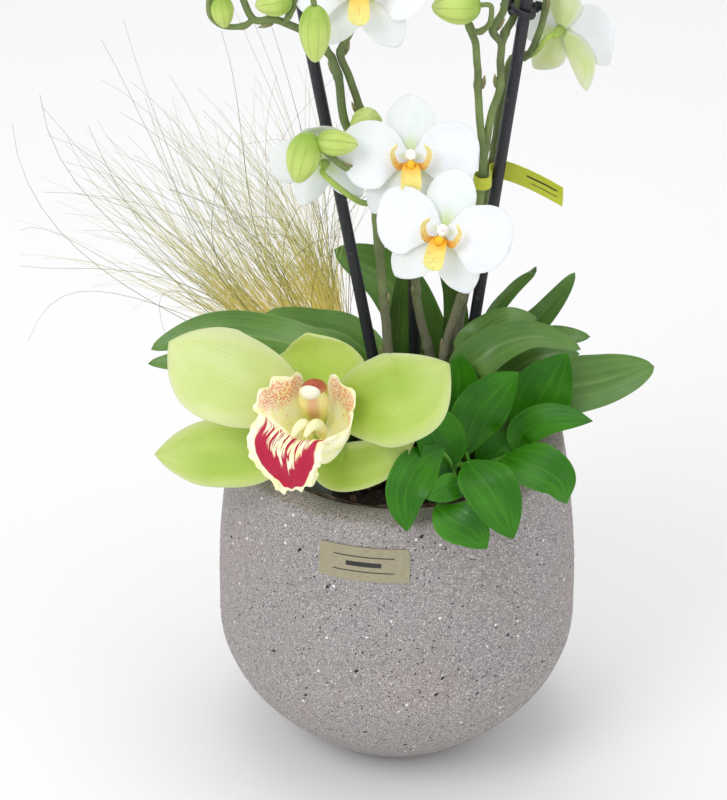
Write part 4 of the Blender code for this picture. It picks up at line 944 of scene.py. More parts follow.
@dataclass
class Pot:
    """The pot, its film liner, the potting mix with bark chips, and the sticker.

    Outlines are (share of the height, share of the way from the foot's or the rim's radius to the belly's).
    """

    foot_radius: float = 34.3
    rim_radius: float = 72.3
    wall: float = 12.0
    floor: float = 12.0
    rim_round: float = 3.5
    lower: tuple = ((0.0, 0.0), (0.03, 0.166), (0.1, 0.433), (0.2, 0.744), (0.33, 0.965), (0.48, 1.0))
    upper: tuple = ((0.48, 1.0), (0.6, 0.94), (0.75, 0.72), (0.9, 0.34), (1.0, 0.0))
    sides: int = 400
    grain: float = 0.14
    chips: int = 260
    label_size: tuple = (39.0, 15.5)
    label_middle: float = 132.0
    label_angle: float = -101.4

    def radius(self, height: Array) -> Array:
        """Return the outer radius at heights: cubics between the outline's points, level at the belly."""
        share = np.asarray(height, float) / POT_HEIGHT

        def curve(table: tuple, level_end: int) -> Array:
            """Return an outline's share at the heights, by cubic curves level at one end."""
            at, value = np.array(table).T
            slope = np.gradient(value, at)
            slope[level_end] = 0.0
            cell = np.clip(np.searchsorted(at, share) - 1, 0, len(at) - 2)
            width = at[cell + 1] - at[cell]
            t = (share - at[cell]) / width
            return (value[cell] * (2 * t**3 - 3 * t**2 + 1) + value[cell + 1] * (3 * t**2 - 2 * t**3)
                    + width * (slope[cell] * (t**3 - 2 * t**2 + t) + slope[cell + 1] * (t**3 - t**2)))

        below = self.foot_radius + (POT_RADIUS - self.foot_radius) * curve(self.lower, -1)
        above = self.rim_radius + (POT_RADIUS - self.rim_radius) * curve(self.upper, 0)
        return np.where(share <= self.lower[-1][0], below, above)

    def shell(self) -> Object:
        """Make the pot: outside, rounded rim, inside and floor, with its surface moved by grain."""
        below = POT_HEIGHT - self.rim_round
        rise = shares(140) ** 0.85 * below
        outside = np.stack([self.radius(rise), rise], axis=1)
        turn = np.linspace(0.0, np.pi, 22)
        edge = float(self.radius(below))
        half = 0.5 * self.wall
        roll = half - half * np.abs(np.cos(turn)) ** 1.6 * np.sign(np.cos(turn))
        lip = np.stack([edge - roll, below + self.rim_round * np.sin(turn) ** 0.7], axis=1)
        fall = np.linspace(below, self.floor, 24)
        inside = np.stack([self.radius(fall) - self.wall, fall], axis=1)
        profile = np.concatenate([[(0.0, 0.0), (12.0, 0.0)], outside, lip[1:-1], inside, [(0.0, self.floor)]])
        grid = lathe(profile, self.sides)
        rng = np.random.default_rng(4)
        grit = rng.normal(size=grid.shape[:2]) * 0.5 + swell(grid / 9.0, 11, 2) * 0.8
        grit[grid[..., 2] < 0.6] = 0.0
        outward = unit(grid * (1.0, 1.0, 0.0)) + (0.0, 0.0, 0.3)
        grid = grid + self.grain * np.clip(grit, -1.6, 1.3)[..., None] * outward
        grid[:2, :, 2] = 0.0
        return Sculpture("stone_pot").add(grid, around=True).build(
            [StoneFinish().material()], ["pot"], "pot_stone", 75.0)

    def liner(self) -> Object:
        """Make the film: it follows the inside wall, creased, and its edge stands proud on one side, where its
        brown paints the shade of the inner wall under the rim.
        """
        sides, rows = 240, 26
        top = POT_HEIGHT - 2.0
        turn = angles(sides)
        height = np.linspace(SOIL_TOP - 14.0, top, rows)
        rise = shares(rows)[:, None] ** 2
        lift = 3.5 * limit(np.cos(turn + 0.21)) ** 6 + 0.8 * swell(turn[:, None] * 9.0, 5)
        circle = np.stack([np.cos(turn), np.sin(turn)], axis=-1)
        crease = 0.5 * swell(np.stack([turn * 14.0, turn * 0.0], -1), 8)[None] * rise - 0.9 * rise
        faces = []
        for inset in (0.5, 0.85):
            radius = (self.radius(np.minimum(height, POT_HEIGHT - 4.0)) - self.wall - inset)[:, None] + crease
            rims = (height[:, None] + rise * lift[None])[..., None]
            faces.append(np.concatenate([radius[..., None] * circle[None], rims], axis=-1))
        grid = np.concatenate([faces[0], faces[1][::-1], faces[0][:1]])
        return Sculpture("film_liner").add(grid, around=True).build(
            [FilmFinish().material()], ["liner"], "liner_film", 60.0)

    def soil(self) -> None:
        """Make the potting mix: a lumpy disc on a closed plug, and the bark chips that lie on it."""
        edge = float(self.radius(SOIL_TOP)) - self.wall - 1.2
        share = shares(60)
        top = lathe(np.stack([edge * share, np.full(60, SOIL_TOP - 0.6)], axis=1), 150)
        lumps = 1.4 * swell(top[..., :2] / 7.0, 21, 3) + 0.5 * swell(top[..., :2] / 2.0, 22, 2)
        top[..., 2] += np.clip(lumps, -3.0, 2.6)
        base = lathe(np.array([(edge, SOIL_TOP - 12.0), (0.0, SOIL_TOP - 12.0)]), 150)
        Sculpture("potting_mix").add(np.concatenate([top, base]), around=True).build(
            [SoilFinish().material()], ["soil"], "soil_mix")
        rng = np.random.default_rng(31)
        count = self.chips
        away = edge * 0.95 * np.sqrt(rng.uniform(0.0, 1.0, count))
        turn = rng.uniform(0.0, 2 * np.pi, count)
        spot = np.stack([away * np.cos(turn), away * np.sin(turn),
                         SOIL_TOP + rng.uniform(0.2, 2.4, count)], axis=-1)
        corner = np.array([(x, y, z) for z in (-1, 1) for x, y in ((-1, -1), (1, -1), (1, 1), (-1, 1))], float)
        size = rng.uniform(0.6, 1.0, (count, 1, 3)) * (3.6, 2.2, 1.0)
        chip = corner[None] * size * rng.uniform(0.65, 1.1, (count, 8, 3))
        yaw, tilt = rng.uniform(0.0, np.pi, (count, 1)), rng.uniform(-0.5, 0.5, (count, 1))
        x, y, z = chip[..., 0], chip[..., 1], chip[..., 2]
        x, z = x * np.cos(tilt) - z * np.sin(tilt), x * np.sin(tilt) + z * np.cos(tilt)
        chip = np.stack([x * np.cos(yaw) - y * np.sin(yaw), x * np.sin(yaw) + y * np.cos(yaw), z], axis=-1)
        piece = Sculpture("bark_chips")
        for one in (chip + spot[:, None]).reshape(count, 2, 4, 3):
            piece.add(closed_ends(one), around=True)
        piece.build([BarkFinish().material()], [], "soil_mix", 25.0)

    def label(self) -> Object:
        """Make the sticker: a thin sheet with rounded corners, bent to the pot."""
        columns, rows = 60, 26
        across = np.linspace(-1.0, 1.0, columns)[None]
        up = np.linspace(-1.0, 1.0, rows)[:, None]
        width, height = 0.5 * self.label_size[0], 0.5 * self.label_size[1]
        corner = limit((np.abs(up) * height - (height - 1.2)) / 1.2)
        reach = (width - 1.2 * (1.0 - np.sqrt(1.0 - corner**2))) / width
        z = self.label_middle + up * height + across * 0.0
        turn = np.radians(self.label_angle) + across * reach * width / float(self.radius(self.label_middle))
        shells = []
        for lift in (0.05, 0.55):
            radius = self.radius(z) + lift
            shells.append(np.stack([radius * np.cos(turn), radius * np.sin(turn), z], axis=-1))
        piece = Sculpture("champagne_sticker")
        add_sheet(piece, shells[1], shells[0], 0, 0)
        return piece.build([StickerFinish().material()], ["pot_label"], "label_metal", 50.0)


def add_sheet(piece: Sculpture, front: Array, back: Array, front_slot: int, back_slot: int) -> None:
    """Add a thin closed sheet: its two faces and the rim that joins their edges.

    Args:
        piece: The piece that gets it.
        front: The grid of its front face.
        back: The grid of its back face.
        front_slot: The material of the front and the rim.
        back_slot: The material of the back.
    """
    piece.add(front, front_slot)
    piece.add(back, back_slot)

    def rim(grid: Array) -> Array:
        """Return the points round a grid's edge."""
        return np.concatenate([grid[0, :-1], grid[:-1, -1], grid[-1, :0:-1], grid[:0:-1, 0]])

    edge = np.stack([rim(front), rim(back)])
    count = edge.shape[1]
    piece.add(edge, front_slot, around=True, across=np.zeros(count), along=np.array((0.01, 0.01)))


@dataclass
class Stake:
    """A straight stick: where it crosses the planting level, its lean per height, and its top."""

    name: str
    node: str
    foot: tuple
    lean: tuple
    top: float
    radius: float = 2.5
    depth: float = 10.0

    def at(self, height: float) -> Array:
        """Return its middle at a height."""
        return LEVEL + (self.foot[0] + self.lean[0] * height, self.foot[1] + self.lean[1] * height, height)

    def build(self, material: Material) -> Object:
        """Make the stick: faintly ribbed, with a domed top."""
        share = np.concatenate([shares(70), np.full(5, 1.0)])
        dome = np.concatenate([np.zeros(70), np.sin(np.linspace(0.25, 0.5 * np.pi, 5))])
        start, end = self.at(-self.depth), self.at(self.top - self.radius)
        path = start + share[:, None] * (end - start) + dome[:, None] * self.radius * unit(end - start)
        girth = self.radius * np.concatenate([np.ones(70), np.cos(np.linspace(0.25, 0.5 * np.pi, 5))])
        tangent = unit(end - start)
        out = unit(np.cross(tangent, (0.0, 1.0, 0.0)))
        angle = angles(28)
        rib = 1.0 + 0.012 * np.cos(7 * angle)
        ring = (np.cos(angle) * rib)[:, None] * out + (np.sin(angle) * rib)[:, None] * np.cross(tangent, out)
        grid = path[:, None] + np.maximum(girth, 1e-4)[:, None, None] * ring[None]
        return Sculpture(self.name).add(closed_ends(grid), around=True).build(
            [material], [self.node], "black_plastic", 60.0)


@dataclass
class Clip:
    """A plant clip: an oval band round a stake and a stem, a hinge barrel, and two finger wings."""

    name: str
    node: str
    stake: Stake
    stem: Point
    band: float = 1.15
    tilt: float = 0.25

    def build(self, material: Material) -> Object:
        """Make the clip: a rounded band carried round an oval, tilted, with lens-shaped wings at its waist."""
        stick, other = self.stake.at(self.stem[2]), LEVEL + np.array(self.stem)
        middle = 0.5 * (stick + other)
        reach = unit(other - stick)
        across = unit(np.cross((0.0, 0.0, 1.0), reach))
        up = np.cross(reach, across)
        room = self.stake.radius + 0.5 + self.band
        length = 0.5 * float(np.linalg.norm(other - stick)) + room
        turn = angles(64)
        waist = (room + 0.6) * (1.0 - 0.16 * np.cos(turn) ** 2 * np.sin(2 * turn) ** 2)
        spoke = np.cos(turn)[:, None] * reach * length + (np.sin(turn) * waist)[:, None] * across
        ring = middle + spoke + (self.tilt * np.sin(turn) * waist)[:, None] * up
        outward = unit(spoke)
        angle = angles(16)
        section = np.sign(np.cos(angle)) * np.abs(np.cos(angle)) ** 0.6
        tall = np.sign(np.sin(angle)) * np.abs(np.sin(angle)) ** 0.6
        band = 0.75 * section[None, :, None] * outward[:, None] + 1.35 * tall[None, :, None] * up
        grid = ring[:, None] + self.band * band
        piece = Sculpture(self.name).add(np.concatenate([grid, grid[:1]]), around=True)
        for sign in (-1.0, 1.0):
            root = middle + sign * (room + 0.3) * across + sign * self.tilt * room * up
            wing = root + shares(14)[:, None] * (sign * 4.6 * across + 2.2 * up)
            girth = 0.4 + 2.1 * np.sin(np.linspace(0.35, np.pi, 14)) ** 0.7
            ridge = 1.0 + 0.1 * np.cos(np.linspace(0.0, 6 * np.pi, 14))
            piece.add(closed_ends(sweep(wing, girth * ridge, 16, 0.55)), around=True)
        barrel = middle + np.linspace(-1.0, 1.0, 9)[:, None] * (2.2 * up) - reach * 0.2
        girth = (0.8, 1.3, 1.5, 1.5, 1.5, 1.5, 1.5, 1.3, 0.8)
        piece.add(closed_ends(sweep(barrel + across * (room + 0.2), girth, 14)), around=True)
        return piece.build([material], [self.node], "black_plastic", 50.0)


@dataclass
class CareTag:
    """The care tag: a narrow strap round the right spike that widens into a flag behind the stake."""

    line: tuple = ((33.8, 5.6), (31.6, 4.2), (31.2, 1.0), (33.0, -1.6), (36.0, -1.6), (37.9, 0.6), (38.4, 4.0),
                   (37.9, 8.0), (38.6, 12.0), (42.0, 14.2), (50.0, 13.4), (60.0, 10.5), (69.0, 7.0))
    start: float = 143.5
    end: float = 133.5
    strap: float = 5.4
    flag: float = 8.8
    thickness: float = 0.5

    def build(self) -> Object:
        """Make the tag: a strip square to its line, whose height grows along it and whose flag sags."""
        path = spline([(x, y, 0.0) for x, y in self.line], 90)
        tangent = unit(np.gradient(path, axis=0))
        side = np.cross(tangent, (0.0, 0.0, 1.0))
        share = limit((path[:, 0] - 38.0) / 31.0) * (np.arange(90) > 45)
        fall = self.start + (self.end - self.start) * share**1.35
        tall = self.strap + (self.flag - self.strap) * limit(share * 5.0)
        up = np.linspace(-0.5, 0.5, 9)
        sheets = []
        for lift in (-0.5, 0.5):
            row = path + lift * self.thickness * side
            grid = np.repeat(row[:, None], 9, axis=1)
            grid[..., 2] = LEVEL[2] + fall[:, None] + up[None] * tall[:, None]
            curl = (0.6 * (up[None] * 2) ** 2) * share[:, None]
            sheets.append(grid + curl[..., None] * side[:, None])
        piece = Sculpture("lime_care_tag")
        add_sheet(piece, sheets[0], sheets[1], 0, 0)
        return piece.build([TagFinish().material()], ["care_tag"], "tag_plastic", 50.0)


@dataclass
class WaterTube:
    """The cut flower's clear tube, with a rubber-like collar, and ribs round its mouth."""

    foot: tuple = (-35.0, -33.0)
    radius: float = 7.0
    wall: float = 1.2
    top: float = 29.0
    depth: float = 14.0

    def build(self) -> Object:
        """Make the tube: one closed outline turned about its axis, out and in, with ribs at the collar."""
        rise = np.linspace(-self.depth, self.top - 1.0, 60)
        collar = limit((rise - self.top + 8.0) / 1.0)
        ribs = collar * (0.5 + 0.35 * np.cos(rise * 2.6))
        outside = np.stack([self.radius - 0.6 * (1.0 - collar) + ribs * 0.5, rise], axis=1)
        cap = np.array([(self.radius - 0.6, self.top), (3.2, self.top), (2.6, self.top - 1.0),
                        (2.6, self.top - 4.0), (self.radius - self.wall, self.top - 4.6)])
        inside = np.array([(self.radius - self.wall - 0.4, self.top - 8.0),
                           (self.radius - self.wall - 0.4, 2.0 - self.depth), (0.0, 1.4 - self.depth)])
        profile = np.concatenate([[(0.0, -self.depth)], outside, cap, inside])
        grid = lathe(profile, 48) + LEVEL + (*self.foot, 0.0)
        return Sculpture("water_tube").add(grid, around=True).build(
            [ClearFinish().material()], ["flower_tube"], "tube_clear")


# ---------------- leaves

@dataclass(frozen=True)
class Blade:
    """A leaf or petal along a curve.

    Its half-width rises from a share of its widest at the base, by a quarter sine, and falls to a point by
    (1 - s to the taper) to a power. Across, it is bent round an arc of the cup angle towards its facing side,
    folded along its middle and rippled more towards its edges.
    """

    name: str
    spine: tuple
    width: float
    facing: Point
    tip_facing: Optional[Point] = None
    base: float = 0.4
    widest: float = 0.5
    point: float = 0.8
    taper: float = 2.0
    cup: float = 0.0
    fold: float = 0.0
    ripple: float = 0.0
    waves: float = 2.0
    thickness: float = 1.1
    edge: float = 0.3
    seed: int = 0
    rows: int = 44
    columns: int = 18

    def surfaces(self) -> tuple[Array, Array]:
        """Return its upper and lower grids, which share their edges."""
        path = spline(self.spine, self.rows + 1)
        tangent = unit(np.gradient(path, axis=0))
        u = shares(self.rows + 1)[:, None]
        tip_facing = self.facing if self.tip_facing is None else self.tip_facing
        normal = (1 - u) * unit(self.facing) + u * unit(tip_facing)
        normal = unit(normal - tangent * np.sum(normal * tangent, axis=1, keepdims=True))
        side = np.cross(tangent, normal)
        s = limit((u - self.widest) / (1 - self.widest))
        rise = self.base + (1 - self.base) * np.sin(0.5 * np.pi * np.minimum(u / self.widest, 1.0))
        half = 0.5 * self.width * rise * (1 - s**self.taper) ** self.point
        v = np.sin(np.linspace(-0.5 * np.pi, 0.5 * np.pi, self.columns + 1))[None]
        bend = max(abs(self.cup), 1e-3)
        uneven = 1.0 + 0.035 * swell(np.concatenate([u * 5.0, u * 0.0], axis=1), self.seed + 70)[:, None]
        across = half * uneven * np.sin(v * bend) / bend
        height = half * (1 - np.cos(v * bend)) / bend * np.sign(self.cup or 1.0)
        height = height + self.fold * half * (np.sqrt(v**2 + 0.004) - 0.06)
        chart = np.stack(np.broadcast_arrays(u * self.waves * 2.6, np.sign(v) * 1.7 + v * 0.6), axis=-1)
        edges = np.abs(v) ** 2.2 * swell(chart, self.seed + 3, 2) * np.sin(np.pi * u) ** 0.5
        whole = 0.25 * swell(np.concatenate([u * 3.0, u * 0.0], axis=1), self.seed + 9)[:, None]
        height = height + self.ripple * (edges + whole)
        ends = limit(np.minimum(u, 1 - u) / 0.05) ** 0.5
        lens = (self.edge + (self.thickness - self.edge) * (1 - v**2)) * np.sqrt(limit(1 - v**6)) * ends
        grids = []
        for sign in (0.5, -0.5):
            up = height + sign * lens
            grids.append(path[:, None] + across[..., None] * side[:, None] + up[..., None] * normal[:, None])
        return grids[0], grids[1]

    def into(self, piece: Sculpture, front: int, back: int, place: Array = LEVEL) -> Sculpture:
        """Add its two faces.

        Args:
            piece: The piece that gets them.
            front: The material of the upper face.
            back: The material of the lower face.
            place: Where its own origin goes.

        Returns:
            The piece.
        """
        top, bottom = self.surfaces()
        across = shares(self.columns + 1)
        piece.add(top + place, front, across=across)
        piece.add(bottom + place, back, across=across)
        return piece


UP: Point = (0.0, -0.25, 1.0)
OUT: Point = (0.1, -0.8, 0.55)
STRAP_LEAVES = (
    Blade("left_leaf_front", ((-17, 9, -3), (-19, 7, 34), (-34, 9, 54), (-56, 14, 60), (-80, 12, 64),
                              (-107, 2, 62)), 24, (0.9, -0.3, 0.3), UP),
    Blade("left_leaf_low", ((-21, -2, -3), (-26, -1, 32), (-47, 0, 47), (-73, -2, 56), (-108, -5, 59)),
          20, (0.9, -0.3, 0.3), UP),
    Blade("left_leaf_back", ((-9, 20, -3), (-9, 22, 38), (-21, 26.5, 54), (-39, 28, 59), (-58, 27.5, 66)),
          20, (-0.8, -0.5, 0.3), (0.1, -0.5, 0.9)),
    Blade("rear_leaf_broad", ((10, 40, -3), (11, 41, 36), (6, 42, 56), (-6, 44, 75), (-28, 42, 90)),
          27, OUT, (0.35, -0.8, 0.5), cup=0.4),
    Blade("rear_leaf_slim", ((-2, 27, -3), (-1, 28, 40), (0, 30, 62), (2, 31, 90)),
          12, (0.5, -0.8, 0.2), base=0.6, cup=0.4),
    Blade("rear_leaf_right", ((26, 36, -3), (27, 36, 42), (28, 35, 58), (26, 36, 74), (19, 37, 92)),
          15, (-0.5, -0.7, 0.3), base=0.5, cup=0.7),
    Blade("right_leaf_withered", ((36, 25, -3), (36, 26, 46), (40, 27, 64), (49, 28, 77), (58, 28, 86),
                                  (60, 24, 91)), 9, (0.5, -0.6, 0.5), base=0.7, cup=0.6, point=0.6),
    Blade("right_leaf_pointed", ((41, 30, -3), (45, 32, 44), (60, 33, 58), (69, 34, 69), (78, 36, 82)),
          13, (0.2, -0.8, 0.5), base=0.5, cup=0.5),
    Blade("right_leaf_upper", ((33, 5, -3), (30, 4, 50), (34, 3, 66), (46, 2, 77), (60, 3, 77)),
          17, (0.9, -0.3, 0.3), UP, base=0.5),
    Blade("right_leaf_middle", ((27, -11, -3), (25, -12, 48), (36, -11, 66), (56, -9, 74), (78, -10, 69)),
          20, (0.8, -0.5, 0.3), (0.2, -0.3, 1.0)),
    Blade("right_leaf_arched", ((42, 14, -3), (42, 14, 36), (48, 14, 50), (66, 14, 60), (84, 14, 62)),
          16, (0.8, -0.5, 0.3), (0.0, -0.35, 0.9), base=0.5),
    Blade("right_leaf_under", ((40, 2, -3), (39, 2, 32), (48, 2, 49), (62, 3, 58), (79, 4, 59)),
          13, (0.8, -0.5, 0.3), (0.0, -0.35, 0.9), base=0.5),
    Blade("right_leaf_long", ((46, -11, -3), (46, -12, 33), (66, -11, 48), (89, -7, 52), (111, 0, 55)),
          26, (0.6, -0.7, 0.4), (-0.1, -0.65, 0.75), cup=0.3),
)
RUSCUS_LEAVES = (
    Blade("back_left", ((22, -22, 27), (25, -20, 48), (26, -16, 71)), 20, (0.2, -0.9, 0.3)),
    Blade("centre", ((28, -38, 33), (32, -37, 51), (41, -35, 63), (50, -34, 72)), 22,
          (0.3, -0.9, 0.2), (0.1, -0.8, 0.6)),
    Blade("back_right", ((52, -19, 30), (60, -18, 48), (72, -16, 71)), 24, (-0.3, -0.9, 0.3)),
    Blade("twisted", ((50, -28, 28), (53, -30, 40), (65, -33, 48), (82, -38, 50)), 14,
          (0.2, -0.7, 0.6), (-0.3, -0.5, 0.8)),
    Blade("inner", ((34, -29, 21), (42, -27, 31), (51, -24, 35)), 12, (0.2, -0.8, 0.5)),
    Blade("rim_right", ((44, -46, 38), (55, -58, 41), (66, -64, 37), (70, -65, 26)), 20,
          (0.1, -0.6, 0.8), (0.5, -0.7, 0.5)),
    Blade("left_tip", ((18, -55, 48), (8, -66, 45), (2, -75, 37), (3, -80, 22)), 17,
          (0.1, -0.5, 0.9), (0.2, -0.9, 0.3)),
    Blade("left_cup", ((19.5, -50.5, 30.5), (17, -51, 43), (12, -52, 55), (3, -51, 64)), 24,
          (0.4, -0.8, 0.3), (0.5, -0.6, 0.6), cup=0.6),
    Blade("low_slim", ((27, -67, 37), (20, -73, 39), (11, -77, 36)), 11, (0.0, -0.7, 0.7)),
    Blade("front", ((28, -60, 44), (35, -75, 43), (41, -81, 35), (47, -84, 21)), 21,
          (0.1, -0.5, 0.9), (0.4, -0.9, 0.3)),
    Blade("lowest", ((15, -74, 31), (21, -81, 29), (29, -85, 26), (36, -88, 19)), 17,
          (0.1, -0.6, 0.8), (0.3, -0.9, 0.3)),
)
TWIGS = {
    "front": (
        (((26, -44, -2), (25, -47, 20), (22, -53, 38)), "left_tip"),
        (((23, -50, 32), (24, -54, 38)), "front"),
        (((25, -47, 20), (22.5, -48, 23)), "left_cup"),
        (((25, -47, 20), (26, -56, 30)), "low_slim"),
        (((25, -47, 20), (22, -56, 27), (18, -66, 30.5)), "lowest"),
    ),
    "middle": (
        (((34, -33, -2), (32, -35, 18)), "centre"),
        (((32, -35, 18), (27, -28, 22)), "back_left"),
        (((32, -35, 18), (37, -40, 30)), "rim_right"),
        (((33, -34, 10), (34, -31, 15)), "inner"),
    ),
    "rear": (
        (((46, -20, -2), (47, -21, 12)), "twisted"),
        (((47, -21, 12), (49, -18, 22)), "back_right"),
    ),
}


@dataclass
class Foliage:
    """The orchids' strap leaves and the ruscus shoots."""

    strap_thickness: float = 1.8
    ruscus_thickness: float = 0.7
    twig_radius: float = 1.0

    def strap(self) -> None:
        """Make the strap leaves: thick, grooved along the middle, with uneven edges."""
        finishes = [STRAP_TOP.material(), STRAP_BACK.material()]
        for index, leaf in enumerate(STRAP_LEAVES):
            leaf = replace(leaf, thickness=self.strap_thickness, cup=leaf.cup or 0.35, fold=0.16, ripple=0.7,
                           edge=0.5, seed=index, rows=60, taper=2.6, point=0.62)
            leaf.into(Sculpture(f"strap_{leaf.name}"), 0, 1).build(finishes, [leaf.name], "strap_leaf", 60.0)

    def ruscus(self) -> None:
        """Make the ruscus leaves and the twigs that carry them, each twig thickened at its joints."""
        finishes = [RUSCUS_TOP.material(), RUSCUS_BACK.material()]
        for index, leaf in enumerate(RUSCUS_LEAVES):
            leaf = replace(leaf, width=1.1 * leaf.width, thickness=self.ruscus_thickness, base=0.12,
                           widest=0.42, point=0.95, taper=2.3, cup=leaf.cup or 0.3, fold=0.05, ripple=0.9,
                           waves=1.2, seed=20 + index, edge=0.25)
            name = f"ruscus_{leaf.name}"
            leaf.into(Sculpture(f"leaf_{name}"), 0, 1).build(finishes, [name], "ruscus_leaf", 60.0)
        bases = {leaf.name: np.array(leaf.spine[:2], float) for leaf in RUSCUS_LEAVES}
        bark = TWIG.material()
        for shoot, twigs in TWIGS.items():
            piece = Sculpture(f"shoot_ruscus_twig_{shoot}")
            for points, name in twigs:
                base, ahead = bases[name]
                path = spline((*points, base + 0.12 * (ahead - base)), 22)
                share = shares(22)
                girth = self.twig_radius * (1.0 - 0.35 * share + 0.25 * np.exp(-((share - 0.95) / 0.06) ** 2))
                piece.add(closed_ends(sweep(path + LEVEL, girth, 12)), around=True)
            piece.build([bark], [f"ruscus_twig_{shoot}"], "ruscus_leaf", 60.0)


# ---------------- cut flower

BLOOM_HUB: Point = (-34.5, -47.5, 57.5)
BLOOM = (
    Blade("dorsal_sepal", ((-35, -41.8, 64), (-32, -36.5, 76), (-33, -37, 87), (-38.3, -45, 97)), 38,
          (-0.2, -0.9, 0.4), (-0.2, -0.7, -0.6), cup=0.5, base=0.35, widest=0.42, taper=2.2, point=0.95),
    Blade("left_petal", ((-40, -48.5, 61), (-57, -50, 72), (-77, -44, 78), (-96, -35, 87)), 39,
          (-0.2, -0.8, 0.5), (-0.3, -0.7, 0.6), cup=0.35, base=0.3, widest=0.52, taper=2.8, point=0.95),
    Blade("right_petal", ((-28, -47.5, 60), (-14, -55.5, 69), (3, -62, 77), (20, -62, 92)), 39,
          (-0.3, -0.75, 0.6), (-0.1, -0.8, 0.6), cup=0.35, base=0.3, widest=0.5, taper=2.8, point=0.95),
    Blade("left_sepal", ((-40, -48, 54), (-56, -47, 42), (-78, -44, 38), (-104, -37, 33)), 31,
          (-0.3, -0.7, 0.6), (-0.2, -0.75, 0.6), cup=0.35, base=0.3, widest=0.48, taper=2.4, point=0.9),
    Blade("right_sepal", ((-31, -49, 52), (-26, -57, 39), (-10, -60, 43), (6.5, -60, 54)), 22,
          (-0.1, -0.6, 0.8), (0.0, -0.75, 0.6), cup=0.5, base=0.5, widest=0.4, taper=2.2, point=0.9),
)
LIP_NET = (
    ((-36.5, -49.5, 54), (-36, -49, 50), (-34, -49, 48), (-31.5, -49, 50), (-31, -49.5, 54)),
    ((-40, -55, 82), (-42.5, -54, 63), (-36, -54, 45), (-27, -53, 60), (-28, -54, 81)),
    ((-49, -60, 84), (-46, -58, 60.5), (-32, -59, 42.5), (-22, -57, 57.5), (-22.5, -58, 80)),
    ((-57, -66, 82.5), (-49.5, -67, 66), (-33.5, -65, 49.5), (-22.5, -63, 56), (-18.5, -64, 74)),
    ((-60, -71, 77), (-51, -73, 69.5), (-38, -71, 58), (-27, -70, 57), (-21.5, -69, 65.5)),
    ((-57.5, -74, 74), (-50.5, -76, 69), (-42, -75, 62.5), (-35, -74, 62.5), (-29, -73, 63.5)),
    ((-62, -79, 68), (-54, -80, 64.5), (-45, -79, 60.5), (-38.5, -78.5, 61), (-32.5, -77, 62.5)),
    ((-61, -82, 59), (-52.5, -83, 56), (-45, -82.5, 54.5), (-39, -81.5, 54), (-33, -80, 55)),
    ((-54.5, -83, 50), (-49, -84, 46), (-42.5, -84, 44), (-38, -83, 44.5), (-34, -82, 48.5)),
)


